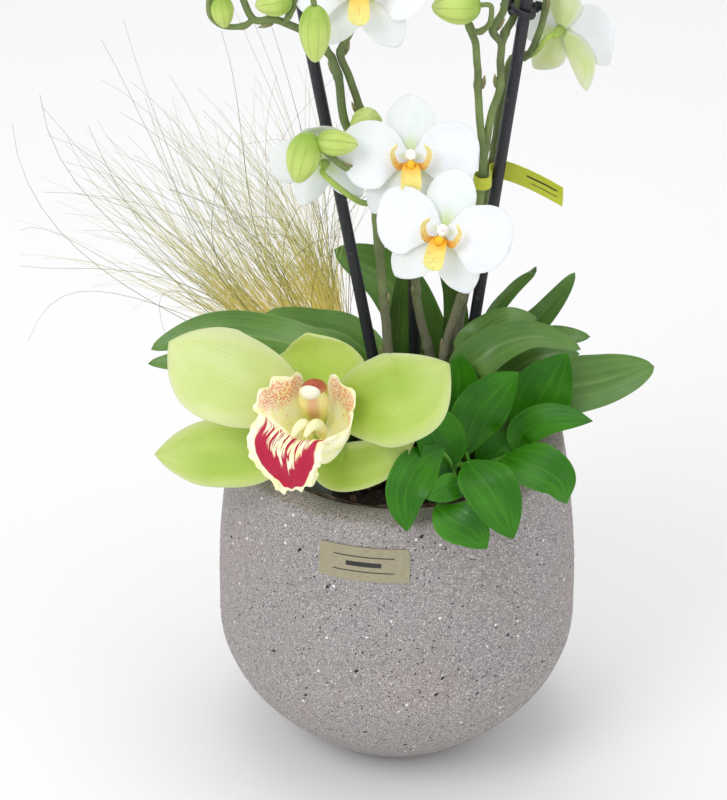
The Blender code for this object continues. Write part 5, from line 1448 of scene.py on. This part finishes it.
@dataclass
class CutFlower:
    """The green cymbidium on its cut stem: five rippled parts, a ruffled lip, callus ridges and a column."""

    thickness: float = 1.2
    hub_radius: float = 4.6
    stem_radius: float = 1.9
    tube_foot: tuple = (-35.0, -33.0)
    ruffle: float = 2.1

    def petals(self) -> None:
        """Make the three sepals and two petals."""
        # The left petal and the dorsal sepal take lit copies of the green finish: painted light.
        finishes = {"left_petal": LIT_PETAL.material(), "dorsal_sepal": LIT_UPPER_SEPAL.material()}
        green = GREEN_PETAL.material()
        for index, part in enumerate(BLOOM):
            part = replace(part, thickness=self.thickness, edge=0.35, ripple=2.8, waves=1.3, seed=40 + index,
                           rows=80, columns=36, fold=-0.05)
            part.into(Sculpture(f"bloom_{part.name}"), 0, 0).build(
                [finishes.get(part.name, green)], [f"cymbidium_{part.name}"], "green_petal", 70.0)

    def lip(self) -> Object:
        """Make the lip: a sheet through a net of points, ruffled at its edges, and two ridges inside."""
        rows, columns = 130, 96
        sheet = loft(np.array(LIP_NET, float), rows, columns) + LEVEL
        u, v = shares(rows)[:, None], np.linspace(-1.0, 1.0, columns)[None]
        normal = unit(np.cross(np.gradient(sheet, axis=1), np.gradient(sheet, axis=0)))
        front = limit((u - 0.66) / 0.34)
        rim = limit((np.abs(v) - 0.55) / 0.45) ** 1.5 * limit(u / 0.12) * (0.45 + 0.55 * front)
        rim = np.maximum(rim, limit((u - 0.9) / 0.1) ** 1.3)
        chart = np.stack(np.broadcast_arrays(u * 21.0, v * 5.0), axis=-1)
        wave = swell(chart, 61, 2) * self.ruffle * rim * 1.5 + 0.25 * swell(chart * 1.5, 62, 2)
        scallop = swell(chart * 1.7, 63, 2)[..., None]
        outward = np.sign(v)[..., None] * unit(np.gradient(sheet, axis=1)) * np.abs(v)[..., None] ** 8
        ahead = unit(np.gradient(sheet, axis=0)) * u[..., None] ** 16
        sheet = sheet + 1.3 * scallop * (outward * limit(u / 0.2)[..., None] + ahead)
        edge = limit((1 - np.abs(v)) / 0.12) * limit((1 - u) / 0.06)
        half = (0.25 + 0.35 * edge) * limit((1 - np.abs(v)) / 0.01) * limit((1 - u) / 0.01)
        half = half * limit(u / 0.01)
        piece = Sculpture("bloom_lip")
        along, across = shares(rows), shares(columns)
        for sign in (1.0, -1.0):
            piece.add(sheet + (wave + sign * half)[..., None] * normal, 0, along=along, across=across)
        for shift in (-2.6, 2.6):
            ridge = spline([(-34.5, -58, 55), (-35.5, -64, 62), (-37, -69, 67.5), (-39.5, -72.5, 67.5),
                                     (-41.5, -75, 65)], 26) + LEVEL + (shift, 0.0, 0.0)
            girth = 2.7 * np.sin(np.linspace(0.5, 2.95, 26)) ** 0.7
            piece.add(closed_ends(sweep(ridge, girth, 14)), 1, around=True)
        return piece.build([LipFinish().material(), CALLUS.material()], ["cymbidium_lip"], "lip_spotted", 70.0)

    def column(self) -> Object:
        """Make the column: an arched club, flattened in front, with a hood and a cream cap at its tip."""
        hub = np.array(BLOOM_HUB) + LEVEL
        path = hub + spline(np.array([(-0.3, -3.0, 1.0), (-0.6, -8.0, 7.0), (-1, -12, 13.5), (-1.3, -14.5, 19),
                                      (-1.5, -16, 23)]), 40)
        girth = spline([(3.0,), (3.9,), (4.4,), (4.6,), (4.0,)], 40)[:, 0]
        grid = sweep(path, girth, 36, 1.34)
        piece = Sculpture("bloom_column").add(closed_ends(grid), 0, around=True)
        tip = path[-1]
        axis = unit(path[-1] - path[-6])
        out = unit(np.cross(axis, (1.0, 0.0, 0.0)))
        facing = unit(np.array((0.1, -0.9, -0.35)))
        cap = tip + 0.6 * axis + 1.6 * facing - (0.9, 0.0, 0.0)
        hood = tip - 0.6 * axis - 0.9 * facing + (1.0, 0.0, 0.0)
        piece.add(egg(cap, axis, (3.3, 3.0, 4.3), out), 1, around=True)
        piece.add(egg(hood, axis, (5.4, 3.4, 5.5), out), 2, around=True)
        return piece.build([ColumnFinish().material(), ANTHER.material(), HOOD.material()],
                           ["cymbidium_column"], "green_petal", 70.0)

    def stem(self) -> Object:
        """Make the cut stem from the tube to the flower's hub, and the hub itself."""
        foot = np.array((*self.tube_foot, 10.0))
        hub = np.array(BLOOM_HUB)
        knots = (foot, foot + (0, 0, 18), foot + (0.2, -2, 32), hub + (0, 5, -5), hub)
        path = spline(knots, 40) + LEVEL
        girth = self.stem_radius * (1.0 + 0.5 * shares(40) ** 4)
        piece = Sculpture("bloom_stem").add(closed_ends(sweep(path, girth, 20)), around=True)
        ball = egg(hub + LEVEL, (0.0, 0.0, 1.0), (self.hub_radius,) * 3, (0.0, 1.0, 0.0))
        piece.add(ball, around=True)
        return piece.build([CUT_STEM.material()], ["cymbidium_stem"], "spike_stem", 60.0)


# ---------------- white orchids

@dataclass(frozen=True)
class Flower:
    """A white flower: its node, its middle, the way it faces, the way its top points, and its size."""

    name: str
    place: Point
    facing: Point
    up: Point = (0.0, 0.0, 1.0)
    size: float = 1.0


FLOWERS = {
    flower.name: flower for flower in (
        Flower("middle", (4, -28, 168), (0.0, -0.87, 0.5)),
        Flower("lower", (17, -50, 146), (-0.15, -0.9, 0.4), (0.15, 0.0, 1.0)),
        Flower("turned", (-31, -21, 163), (0.0, 1.0, 0.15), (-0.17, 0.1, 1.0), 0.8),
        Flower("left", (-16, -13, 235), (-0.05, -0.87, 0.5)),
        Flower("side", (67, 17, 205), (0.7, 0.68, 0.1)),
        Flower("top_left", (-55, -20, 285), (-0.35, -0.85, 0.35)),
        Flower("top", (10, -16, 282), (-0.1, -0.88, 0.45)),
        Flower("top_right", (66, -14, 266), (0.4, -0.85, 0.35)),
    )
}


def pair(left: Blade) -> tuple[Blade, Blade]:
    """Return a left-hand part and its twin on the right, whose every x has the other sign."""
    def turned(way: Point) -> Point:
        """Return a point or direction of the twin."""
        return (-way[0], *way[1:])

    return left, replace(left, spine=tuple(map(turned, left.spine)), facing=turned(left.facing),
                         tip_facing=left.tip_facing and turned(left.tip_facing))


SEPALS = (
    Blade("dorsal_sepal", ((0, 1.5, -1), (0, 13, -1.0), (0, 26.0, -3.5)), 20, (0, 0, 1), cup=0.25, base=0.3,
          widest=0.5, point=0.62),
    *pair(Blade("side_sepal", ((-0.9, -1.2, -1), (-8.5, -11, -0.6), (-15.5, -22, -3.5)), 18, (0, 0, 1),
                cup=0.25, base=0.35, widest=0.45, point=0.75)),
)
PETALS = pair(Blade("petal", ((-1.2, 0.6, 0.6), (-13, 1.6, 2.4), (-27.5, -1.2, 0.2)), 28, (0, 0, 1), cup=0.2,
                    base=0.14, widest=0.58, point=0.46, waves=1.2))
LIP = Blade("lip", ((0, -2, 4), (0, -6, 8.5), (0, -10.5, 9.5), (0, -15.5, 6.5)), 9.5, (0, 1, 0.6),
            (0, 0.4, 1), cup=0.9, base=0.42, widest=0.66, point=0.75, thickness=1.1)
HORNS = pair(Blade("horn", ((-1.6, -3.0, 4), (-5.8, -3.4, 6.5), (-7.8, 1.5, 8.2), (-5.4, 5.0, 9)), 3.8,
                   (1, 0, 1), (0.9, -0.2, 0.4), cup=0.5, base=0.5, widest=0.6, point=0.5, thickness=0.9))


class Tint(Enum):
    """The materials of a white flower, in the order of its slots."""

    SEPAL = 0
    PETAL = 1
    LIP = 2
    HORN = 3
    CALLUS = 4
    COLUMN = 5
    STALK = 6


@dataclass
class MothOrchids:
    """The white flowers, all shaped from one pattern with small changes of curl and ripple."""

    hub_radius: float = 2.6
    ripple: float = 0.9

    def frame(self, flower: Flower) -> Array:
        """Return the flower's axes as rows: right, up, facing."""
        facing = unit(np.array(flower.facing, float))
        up = np.array(flower.up, float)
        up = unit(up - facing * np.dot(up, facing))
        return np.stack([np.cross(up, facing), up, facing])

    def parts(self, piece: Sculpture, flower: Flower, seed: int) -> None:
        """Add the flower's parts, placed in its frame.

        Args:
            piece: The piece that gets them.
            flower: Which flower it is.
            seed: Its own small changes of curl and ripple.
        """
        axes = self.frame(flower) * flower.size
        place = np.array(flower.place, float) + LEVEL
        rng = np.random.default_rng(seed)

        def put(grid: Array, tint: Tint, **chart: Array) -> None:
            """Add a grid in the flower's frame."""
            piece.add(grid @ axes + place, tint.value, **chart)

        for blade in (*SEPALS, *PETALS):
            petal = blade in PETALS
            bend = rng.normal(0.0, 0.8, 3)
            spine = np.array(blade.spine, float)
            spine[1:, 2] += bend[:2] * (0.7, 1.6)
            blade = replace(blade, spine=tuple(map(tuple, spine)), cup=blade.cup + 0.1 * bend[2],
                            ripple=self.ripple * (1.2 if petal else 0.8), seed=seed * 9 + int(rng.integers(90)),
                            thickness=0.8, edge=0.3, rows=44, columns=30 if petal else 20,
                            fold=-0.03 if petal else 0.03)
            across = shares(blade.columns + 1)
            for grid in blade.surfaces():
                put(grid, Tint.PETAL if petal else Tint.SEPAL, across=across)
        for blade, tint in ((LIP, Tint.LIP), (HORNS[0], Tint.HORN), (HORNS[1], Tint.HORN)):
            blade = replace(blade, rows=30, columns=16, seed=seed, edge=0.3)
            across = shares(17)
            for grid in blade.surfaces():
                put(grid, tint, across=across)
        knob = egg((0, -3.6, 7.2), (0.0, 1.0, 0.2), (2.4, 1.9, 2.0), (0.0, 0.0, 1.0))
        put(knob, Tint.CALLUS, around=True)
        club = spline([(0, -0.5, -2.5), (0, 0.6, 2.0), (0, 1.2, 5.4), (0, 0.6, 8.2)], 18)
        girth = 2.5 * np.sin(np.linspace(0.75, 2.75, 18)) ** 0.35
        put(closed_ends(sweep(club, girth, 16)), Tint.COLUMN, around=True)
        neck = spline([(0, 0, -0.6), (0, 0, -3.2), (0, -0.4, -6.0)], 12)
        put(closed_ends(sweep(neck, np.linspace(2.9, 1.3, 12), 14)), Tint.STALK, around=True)

    def build(self) -> None:
        """Make the eight flowers."""
        finishes = [WHITE_SEPAL.material(), WHITE_PETAL.material(), MOTH_LIP.material(), MOTH_HORN.material(),
                    MOTH_CALLUS.material(), MOTH_COLUMN.material(), STALK.material()]
        for seed, flower in enumerate(FLOWERS.values()):
            piece = Sculpture(f"white_orchid_{flower.name}")
            self.parts(piece, flower, seed + 1)
            tints = list(finishes)
            if flower.name == "side":
                tints[Tint.SEPAL.value] = GREEN_SEPAL.material()
            piece.build(tints, [f"orchid_flower_{flower.name}"], "white_petal", 70.0)


@dataclass(frozen=True)
class Spike:
    """A flower spike: branches with their radii, a stalk to each flower, and buds with a stalk point each."""

    name: str
    branches: tuple
    flowers: dict
    buds: tuple


SPIKES = (
    Spike("left", (
        (((-1, -3, -2), (-2, -1, 30), (-4, 3, 60), (-8, -2, 110), (-11, -6, 148), (-16, -4, 160),
          (-23, -4, 174), (-25, -5, 192), (-28, -6, 203)), 2.2),
        (((-28, -6, 203), (-35, -10, 213), (-44, -12, 219), (-51, -13, 222), (-59, -13, 222), (-63, -13, 232),
          (-69, -13, 244)), 1.7),
        (((-11, -6, 146), (-14, -2, 165), (-17, -2, 180), (-21, -3, 193), (-24, -5, 204), (-19, -6, 217),
          (-19, -2, 230), (-22, 4, 243), (-30, 8, 258), (-38, 6, 274), (-44, 4, 290), (-46, 2, 306)), 1.7),
        (((-11, -6, 144), (-13.4, -20, 155.6), (-24, -31, 167), (-34, -34, 178)), 1.7),
        (((-59, -13, 222), (-63, -15, 220), (-71, -17, 221), (-76, -18, 226), (-76, -18, 233),
          (-70, -17, 235)), 1.25),
        (((-47, -13, 220), (-43, -15, 227), (-42, -16, 233)), 1.25),
        (((-17, -3, 163), (-15, -1, 166), (-14, -1, 169)), 1.25),
        (((-37, 6, 272), (-37, -10, 270), (-37, -27, 262), (-36, -34, 248), (-34, -34, 236)), 1.25),
    ), {
        "turned": ((-10, -7, 138), (-15, -18, 143), (-21, -27, 151)),
        "left": ((-23, -5, 208), (-23, -8, 220), (-20, -4, 228)),
        "top_left": ((-44, 4, 288), (-48, -6, 290)),
    }, (
        ((-34, -34, 237), (-34, -35, 213), 6.6),
        ((-43, -16, 232), (-58, -16, 229), 6.0),
        ((-72, -17, 234), (-70, -17, 220), 5.0),
        ((-36.5, -34, 182), (-42, -34, 160), 7.4),
        ((-34, -34, 178.5), (-17, -36, 178), 5.6),
        ((-14, -2, 168), (-13.5, -17, 182), 7.0),
        ((-69, -13, 242), (-76, -14, 255), 4.4),
        ((-46, 2, 304), (-50, 0, 320), 4.6),
    )),
    Spike("centre", (
        (((17, 13, -2), (16, 13, 30), (14, 12, 54), (9, 12, 76), (7, 10, 97), (6, 6, 116), (5, 2, 140)), 2.2),
    ), {
        "middle": ((5, 2, 138), (5, -8, 157), (4, -17, 163)),
        "lower": ((6, 6, 116), (11, -12, 130), (15, -30, 140)),
    }, ()),
    Spike("right", (
        (((16, 2, -2), (17, 3, 30), (22, 6, 67), (31, 4, 102), (34, 2, 139), (35, 2, 156)), 2.2),
        (((35, 2, 154), (33, 2, 173), (32, 2, 185), (31, 0, 203), (28, -2, 213), (22, 2, 226), (18, 6, 244),
          (12, 8, 262)), 1.7),
        (((35, 2, 154), (38, 4, 173), (41, 4, 184), (41, 3, 196), (41, 2, 205), (37, 0, 212), (41, 0, 221),
          (42, 1, 232), (39, 5, 250), (32, 7, 270), (27, 7, 290), (25, 5, 306)), 1.7),
        (((41, 2, 205), (43, 6, 209), (46.5, 12, 213), (49, 17, 222), (50, 22, 236), (48, 28, 246)), 1.7),
        (((28, -2, 213), (32, -4, 213), (36, -6, 218), (36, -9, 226), (31, -10, 227)), 1.25),
    ), {
        "top": ((31, 7, 274), (22, -2, 278)),
    }, (
        ((32, -10, 226.5), (12, -10, 226), 7.6),
        ((12, 8, 260), (9, 6, 276), 5.0),
        ((48, 28, 244), (47, 32, 260), 5.0),
        ((25, 5, 304), (22, 2, 320), 4.4),
    )),
    Spike("back", (
        (((23, 24, -2), (24, 24, 30), (28, 21, 70), (34, 18, 103), (38, 16, 137), (40, 15, 156),
          (45, 15, 191), (52, 14, 194), (56, 12, 204), (58.5, 10, 215), (60, 9, 230), (63, 10, 250),
          (66, 12, 272), (71, 12, 290)), 1.7),
    ), {
        "side": ((51, 15, 193), (56, 13, 197)),
        "top_right": ((64, 11, 258), (66, 2, 264)),
    }, (
        ((71, 12, 288), (75, 10, 303), 4.8),
        ((63, 10, 250), (69, 24, 262), 4.8),
    )),
)


@dataclass
class Spikes:
    """The stems with their joints, bracts, flower stalks and buds."""

    taper: float = 0.8
    joint: float = 28.0

    def branch(self, piece: Sculpture, points: tuple, radius: float) -> None:
        """Add a branch whose girth swells a little at even joints, with a dry bract round each joint.

        Args:
            piece: The spike that gets it.
            points: The points of its middle.
            radius: Its radius at the foot; a side stalk, under 1.6, has no bracts.
        """
        path = spline(points, 110)
        step = np.linalg.norm(np.diff(path, axis=0), axis=1)
        run = np.concatenate([[0.0], np.cumsum(step)])
        near = (run + 9.0) % self.joint - 0.5 * self.joint
        girth = radius * np.linspace(1.0, self.taper, 110) * (1.0 + 0.24 * np.exp(-(near / 1.6) ** 2))
        wobble = 0.3 * swell(np.stack([run / 9.0, run * 0.0], axis=-1), int(points[0][2]) % 50)
        path = path + wobble[:, None] * np.array((1.0, 0.4, 0.0)) * np.sin(np.linspace(0, np.pi, 110))[:, None]
        piece.add(closed_ends(sweep(path + LEVEL, girth, 18)), 0, around=True)
        if radius < 1.6:
            return
        tangent, normal, side = frames(path)
        for count, spot in enumerate(np.arange(1.5 * self.joint - 9.0, run[-1] - 6.0, self.joint)):
            here = int(np.searchsorted(run, spot))
            turn = 2.4 * count + 0.6
            out = np.cos(turn) * normal[here] + np.sin(turn) * side[here]
            reach = spline(np.array([path[here] + out * 0.6 * girth[here] - tangent[here],
                                     path[here] + out * 1.15 * girth[here] + 1.5 * tangent[here],
                                     path[here] + out * 1.5 * girth[here] + 5.0 * tangent[here]]), 12)
            scale = 1.35 * (1.0 - np.linspace(0.0, 0.97, 12) ** 2)
            piece.add(closed_ends(sweep(reach + LEVEL, scale, 12, 0.45)), 2, around=True)

    def bud(self, piece: Sculpture, bud: tuple) -> None:
        """Add a bud: an egg with three shallow seams and a drawn-out tip.

        Args:
            piece: The spike that gets it.
            bud: Its base, its tip and its radius.
        """
        base, tip, radius = np.array(bud[0], float), np.array(bud[1], float), bud[2]
        share = shares(34)
        girth = radius * np.sin(np.pi * share**0.85) ** 0.58 * (1.0 - 0.1 * share)
        girth[0], girth[-1] = 0.02, 0.02
        path = base + share[:, None] * (tip - base)
        axis = unit(tip - base)
        out = unit(np.cross(axis, (0.3, 0.5, 0.8)))
        turn = angles(36)
        seam = 1.0 - 0.035 * limit(np.cos(3 * turn))[None] ** 6 * np.sin(np.pi * share)[:, None] ** 0.5
        ring = np.cos(turn)[:, None] * out + np.sin(turn)[:, None] * np.cross(axis, out)
        grid = path[:, None] + (girth[:, None] * seam)[..., None] * ring[None] + LEVEL
        piece.add(closed_ends(grid), 1, around=True, across=(turn * 3 / (2 * np.pi)) % 1.0)

    def build(self) -> None:
        """Make the four spikes."""
        finishes = [StemFinish().material(), BudFinish().material(), BRACT.material(), STALK.material()]
        orchids = MothOrchids()
        for spike in SPIKES:
            piece = Sculpture(f"stem_spike_{spike.name}")
            for points, radius in spike.branches:
                self.branch(piece, points, radius)
            for name, points in spike.flowers.items():
                flower = FLOWERS[name]
                facing = orchids.frame(flower)[2]
                end = np.array(flower.place, float) - 5.0 * flower.size * facing
                lead = end - 5.0 * facing
                path = spline([*points, lead, end], 40)
                piece.add(closed_ends(sweep(path + LEVEL, np.linspace(1.3, 1.15, 40), 14)), 3, around=True)
            for bud in spike.buds:
                self.bud(piece, bud)
            piece.build(finishes, [f"spike_{spike.name}"], "spike_stem", 60.0)


# ---------------- dried grass

@dataclass
class Grass:
    """The bunch of dried grass: stalks that leave one root, part over the leaves, and arch to the left."""

    root: tuple = (-20.0, 34.0, -2.0)
    stalks: int = 620
    strands: int = 38
    wisps: int = 56
    radius: float = 0.19
    segments: int = 18

    def build(self) -> Object:
        """Make the stalks together, as one array: each a three-sided tube along a curve from root to tip.

        A stalk follows the quartic Bezier curve of its root, a point above it, its waist over the leaves, its
        knee and its tip, with waves added that grow towards the tip. The waists lie in a row, stalks lean more
        the further left theirs is, and those of one strand go the same way. Wisps are longer, looser stalks.
        """
        rng = np.random.default_rng(77)
        count = self.stalks + self.wisps
        wisp = np.arange(count) >= self.stalks
        strand = rng.integers(0, self.strands, count)
        spread = np.where(wisp, 22.0, 6.0)

        def shared(low: float, high: float, own: Array) -> Array:
            """Return a value that a strand's stalks share, give or take their own."""
            return rng.uniform(low, high, self.strands)[strand] + own * rng.normal(0.0, 1.0, count)

        left = np.clip(shared(0.0, 1.05, np.where(wisp, 0.3, 0.03)), 0.0, 1.2) ** 1.15
        angle = np.radians(shared(-20.0, 4.0, spread) - 24.0 * left)
        turn = angle + np.radians(shared(-60.0, 24.0, 2.6 * spread))
        length = np.where(wisp, rng.uniform(60, 140, count), 14 + 86 * rng.uniform(0.0, 1.0, count) ** 1.7)
        root = np.array(self.root) + rng.normal(0.0, (2.6, 2.6, 0.0), (count, 3))
        aside = 50.0 + rng.normal(0.0, 5.0, count)
        waist = np.stack([-25.0 - 58.0 * left, aside, 66.0 - 12.0 * left], axis=-1)
        above = root + (waist - root) * (0.3, 1.1, 0.6)
        aim = np.stack([np.sin(angle), rng.normal(0.0, 0.16, count), np.cos(angle)], axis=-1)
        ahead = np.stack([np.sin(turn), rng.normal(0.0, 0.16, count), np.cos(turn)], axis=-1)
        knee = waist + 0.5 * aim * length[:, None] * 1.1
        tip = knee + 0.55 * ahead * length[:, None]
        tip = np.clip(tip, (-165.0, 12.0, 22.0), (28.0, 80.0, 206.0))
        t = shares(self.segments + 1)[None, :, None]
        weights = ((1 - t) ** 4, 4 * (1 - t) ** 3 * t, 6 * (1 - t) ** 2 * t**2, 4 * (1 - t) * t**3, t**4)
        path = sum(weight * point[:, None] for weight, point in zip(weights, (root, above, waist, knee, tip)))
        phase, rate = rng.uniform(0, 2 * np.pi, (count, 1, 3)), rng.uniform(3.0, 10.0, (count, 1, 3))
        sway = np.where(wisp, 7.0, 3.4)[:, None, None] * rng.uniform(0.1, 1.0, (count, 1, 1))
        path = path + sway * np.sin(phase + rate * t) * t**1.5
        tangent = unit(np.gradient(path, axis=1))
        side = unit(np.cross(tangent, (0.3, 0.9, 0.2)))
        other = np.cross(tangent, side)
        angle = np.arange(3)[:, None] * 2 * np.pi / 3
        ring = np.cos(angle) * side[:, :, None] + np.sin(angle) * other[:, :, None]
        girth = self.radius * rng.uniform(0.7, 1.3, (count, 1, 1, 1)) * (1.0 - 0.72 * t[..., None])
        girth = girth * np.where(wisp, 1.3, 1.0)[:, None, None, None]
        grid = path[:, :, None] + girth * ring + LEVEL
        piece = Sculpture("dried_grass")
        along = np.concatenate([[0.0], t.ravel(), [1.0]])
        tints = np.where(wisp, rng.uniform(0.85, 1.0, count), rng.uniform(0.0, 0.85, count))
        for stalk, tint in zip(grid, tints):
            piece.add(closed_ends(stalk), 0, around=True, along=along, across=np.full(3, tint))
        return piece.build([GrassFinish().material()], ["grass_tuft"], "grass_straw", 180.0)


# ---------------- studio

@dataclass(frozen=True)
class FloorFinish:
    """Plain pale card."""

    colour: Colour = (244, 243, 243)
    darker: Colour = (240.7, 239.7, 239.7)

    def material(self) -> Material:
        """Make the material."""
        look = Look("studio_floor", Roughness=0.85)
        shade = look.noise(look.coords(), 1.2, 1.0)
        return look.done(Base_Color=look.mix(shade, self.darker, self.colour))


@dataclass
class Studio:
    """The floor, the lights and the camera."""

    target: tuple = (-0.015, 0.0, 0.168)
    distance: float = 1.2
    height_angle: float = 30.7
    lens: float = 123.7
    world: float = 0.8
    lamps: tuple = (
        ("key", (-1.0, -1.1, 1.6), 1.0, 11.0),
        ("fill", (1.2, -0.8, 1.2), 1.2, 2.2),
        ("top", (-0.1, 0.4, 2.0), 1.2, 9.0),
    )

    def floor(self) -> Object:
        """Make a wide floor that bends up far behind."""
        run = np.array([(-6.0, 0.0), (6.0, 0.0), (7.0, 0.2), (7.6, 1.0), (7.8, 6.0)])
        mesh = bpy.data.meshes.new("studio_floor")
        points = [(x, y, z) for y, z in run for x in (-9.0, 9.0)]
        mesh.from_pydata(points, [], [(2 * k, 2 * k + 1, 2 * k + 3, 2 * k + 2) for k in range(len(run) - 1)])
        mesh.materials.append(FloorFinish().material())
        item = bpy.data.objects.new("studio_floor", mesh)
        bpy.context.scene.collection.objects.link(item)
        return item

    def lights(self) -> None:
        """Make the area lamps, turned to the object, and the pale world."""
        aim = Vector(self.target)
        for name, place, size, power in self.lamps:
            lamp = bpy.data.lights.new(name, "AREA")
            lamp.shape, lamp.size, lamp.energy = "DISK", size, power
            item = bpy.data.objects.new(name, lamp)
            item.location = place
            item.rotation_euler = (aim - Vector(place)).to_track_quat("-Z", "Y").to_euler()
            bpy.context.scene.collection.objects.link(item)
        world = bpy.data.worlds.new("studio_world")
        world.use_nodes = True
        background = next(node for node in world.node_tree.nodes if node.type == "BACKGROUND")
        background.inputs["Color"].default_value = (0.97, 0.985, 1.0, 1.0)
        background.inputs["Strength"].default_value = self.world
        bpy.context.scene.world = world

    def camera(self) -> Object:
        """Make the camera and set it as the scene's."""
        rise = np.radians(self.height_angle)
        data = bpy.data.cameras.new("studio_camera")
        data.lens, data.sensor_width = self.lens, 36.0
        item = bpy.data.objects.new("studio_camera", data)
        back = Vector((0.0, -float(np.cos(rise)), float(np.sin(rise))))
        item.location = Vector(self.target) + self.distance * back
        item.rotation_euler = (-back).to_track_quat("-Z", "Y").to_euler()
        bpy.context.scene.collection.objects.link(item)
        bpy.context.scene.camera = item
        bpy.context.scene.view_settings.view_transform = "Standard"
        return item

    def build(self) -> None:
        """Make the whole setting."""
        self.floor()
        self.lights()
        self.camera()


def make_plant() -> None:
    """Make every piece of the potted orchid."""
    pot = Pot()
    pot.shell()
    pot.liner()
    pot.soil()
    pot.label()
    black = BlackFinish().material()
    stakes = [Stake("stick_left", "stake_left", (-1.2, 8.0), (-0.173, -0.036), 297.0),
              Stake("stick_centre", "stake_centre", (8.4, 24.0), (-0.018, -0.05), 140.0),
              Stake("stick_right", "stake_right", (24.8, 14.7), (0.118, -0.039), 297.0)]
    for stake in stakes:
        stake.build(black)
    for name, stake, stem in (("left", 0, (-41.5, 5.0, 282.0)), ("centre", 1, (6.8, 9.0, 101.0)),
                              ("right", 2, (48.0, 14.5, 217.0))):
        Clip(f"grip_{name}", f"clip_{name}", stakes[stake], stem).build(black)
    CareTag().build()
    WaterTube().build()
    foliage = Foliage()
    foliage.strap()
    foliage.ruscus()
    flower = CutFlower()
    flower.petals()
    flower.lip()
    flower.column()
    flower.stem()
    Spikes().build()
    MothOrchids().build()
    Grass().build()


def main() -> None:
    """Make the plant and its studio."""
    logging.basicConfig(level=logging.INFO, format="%(name)s: %(message)s")
    make_plant()
    Studio().build()


if __name__ == "__main__":
    main()
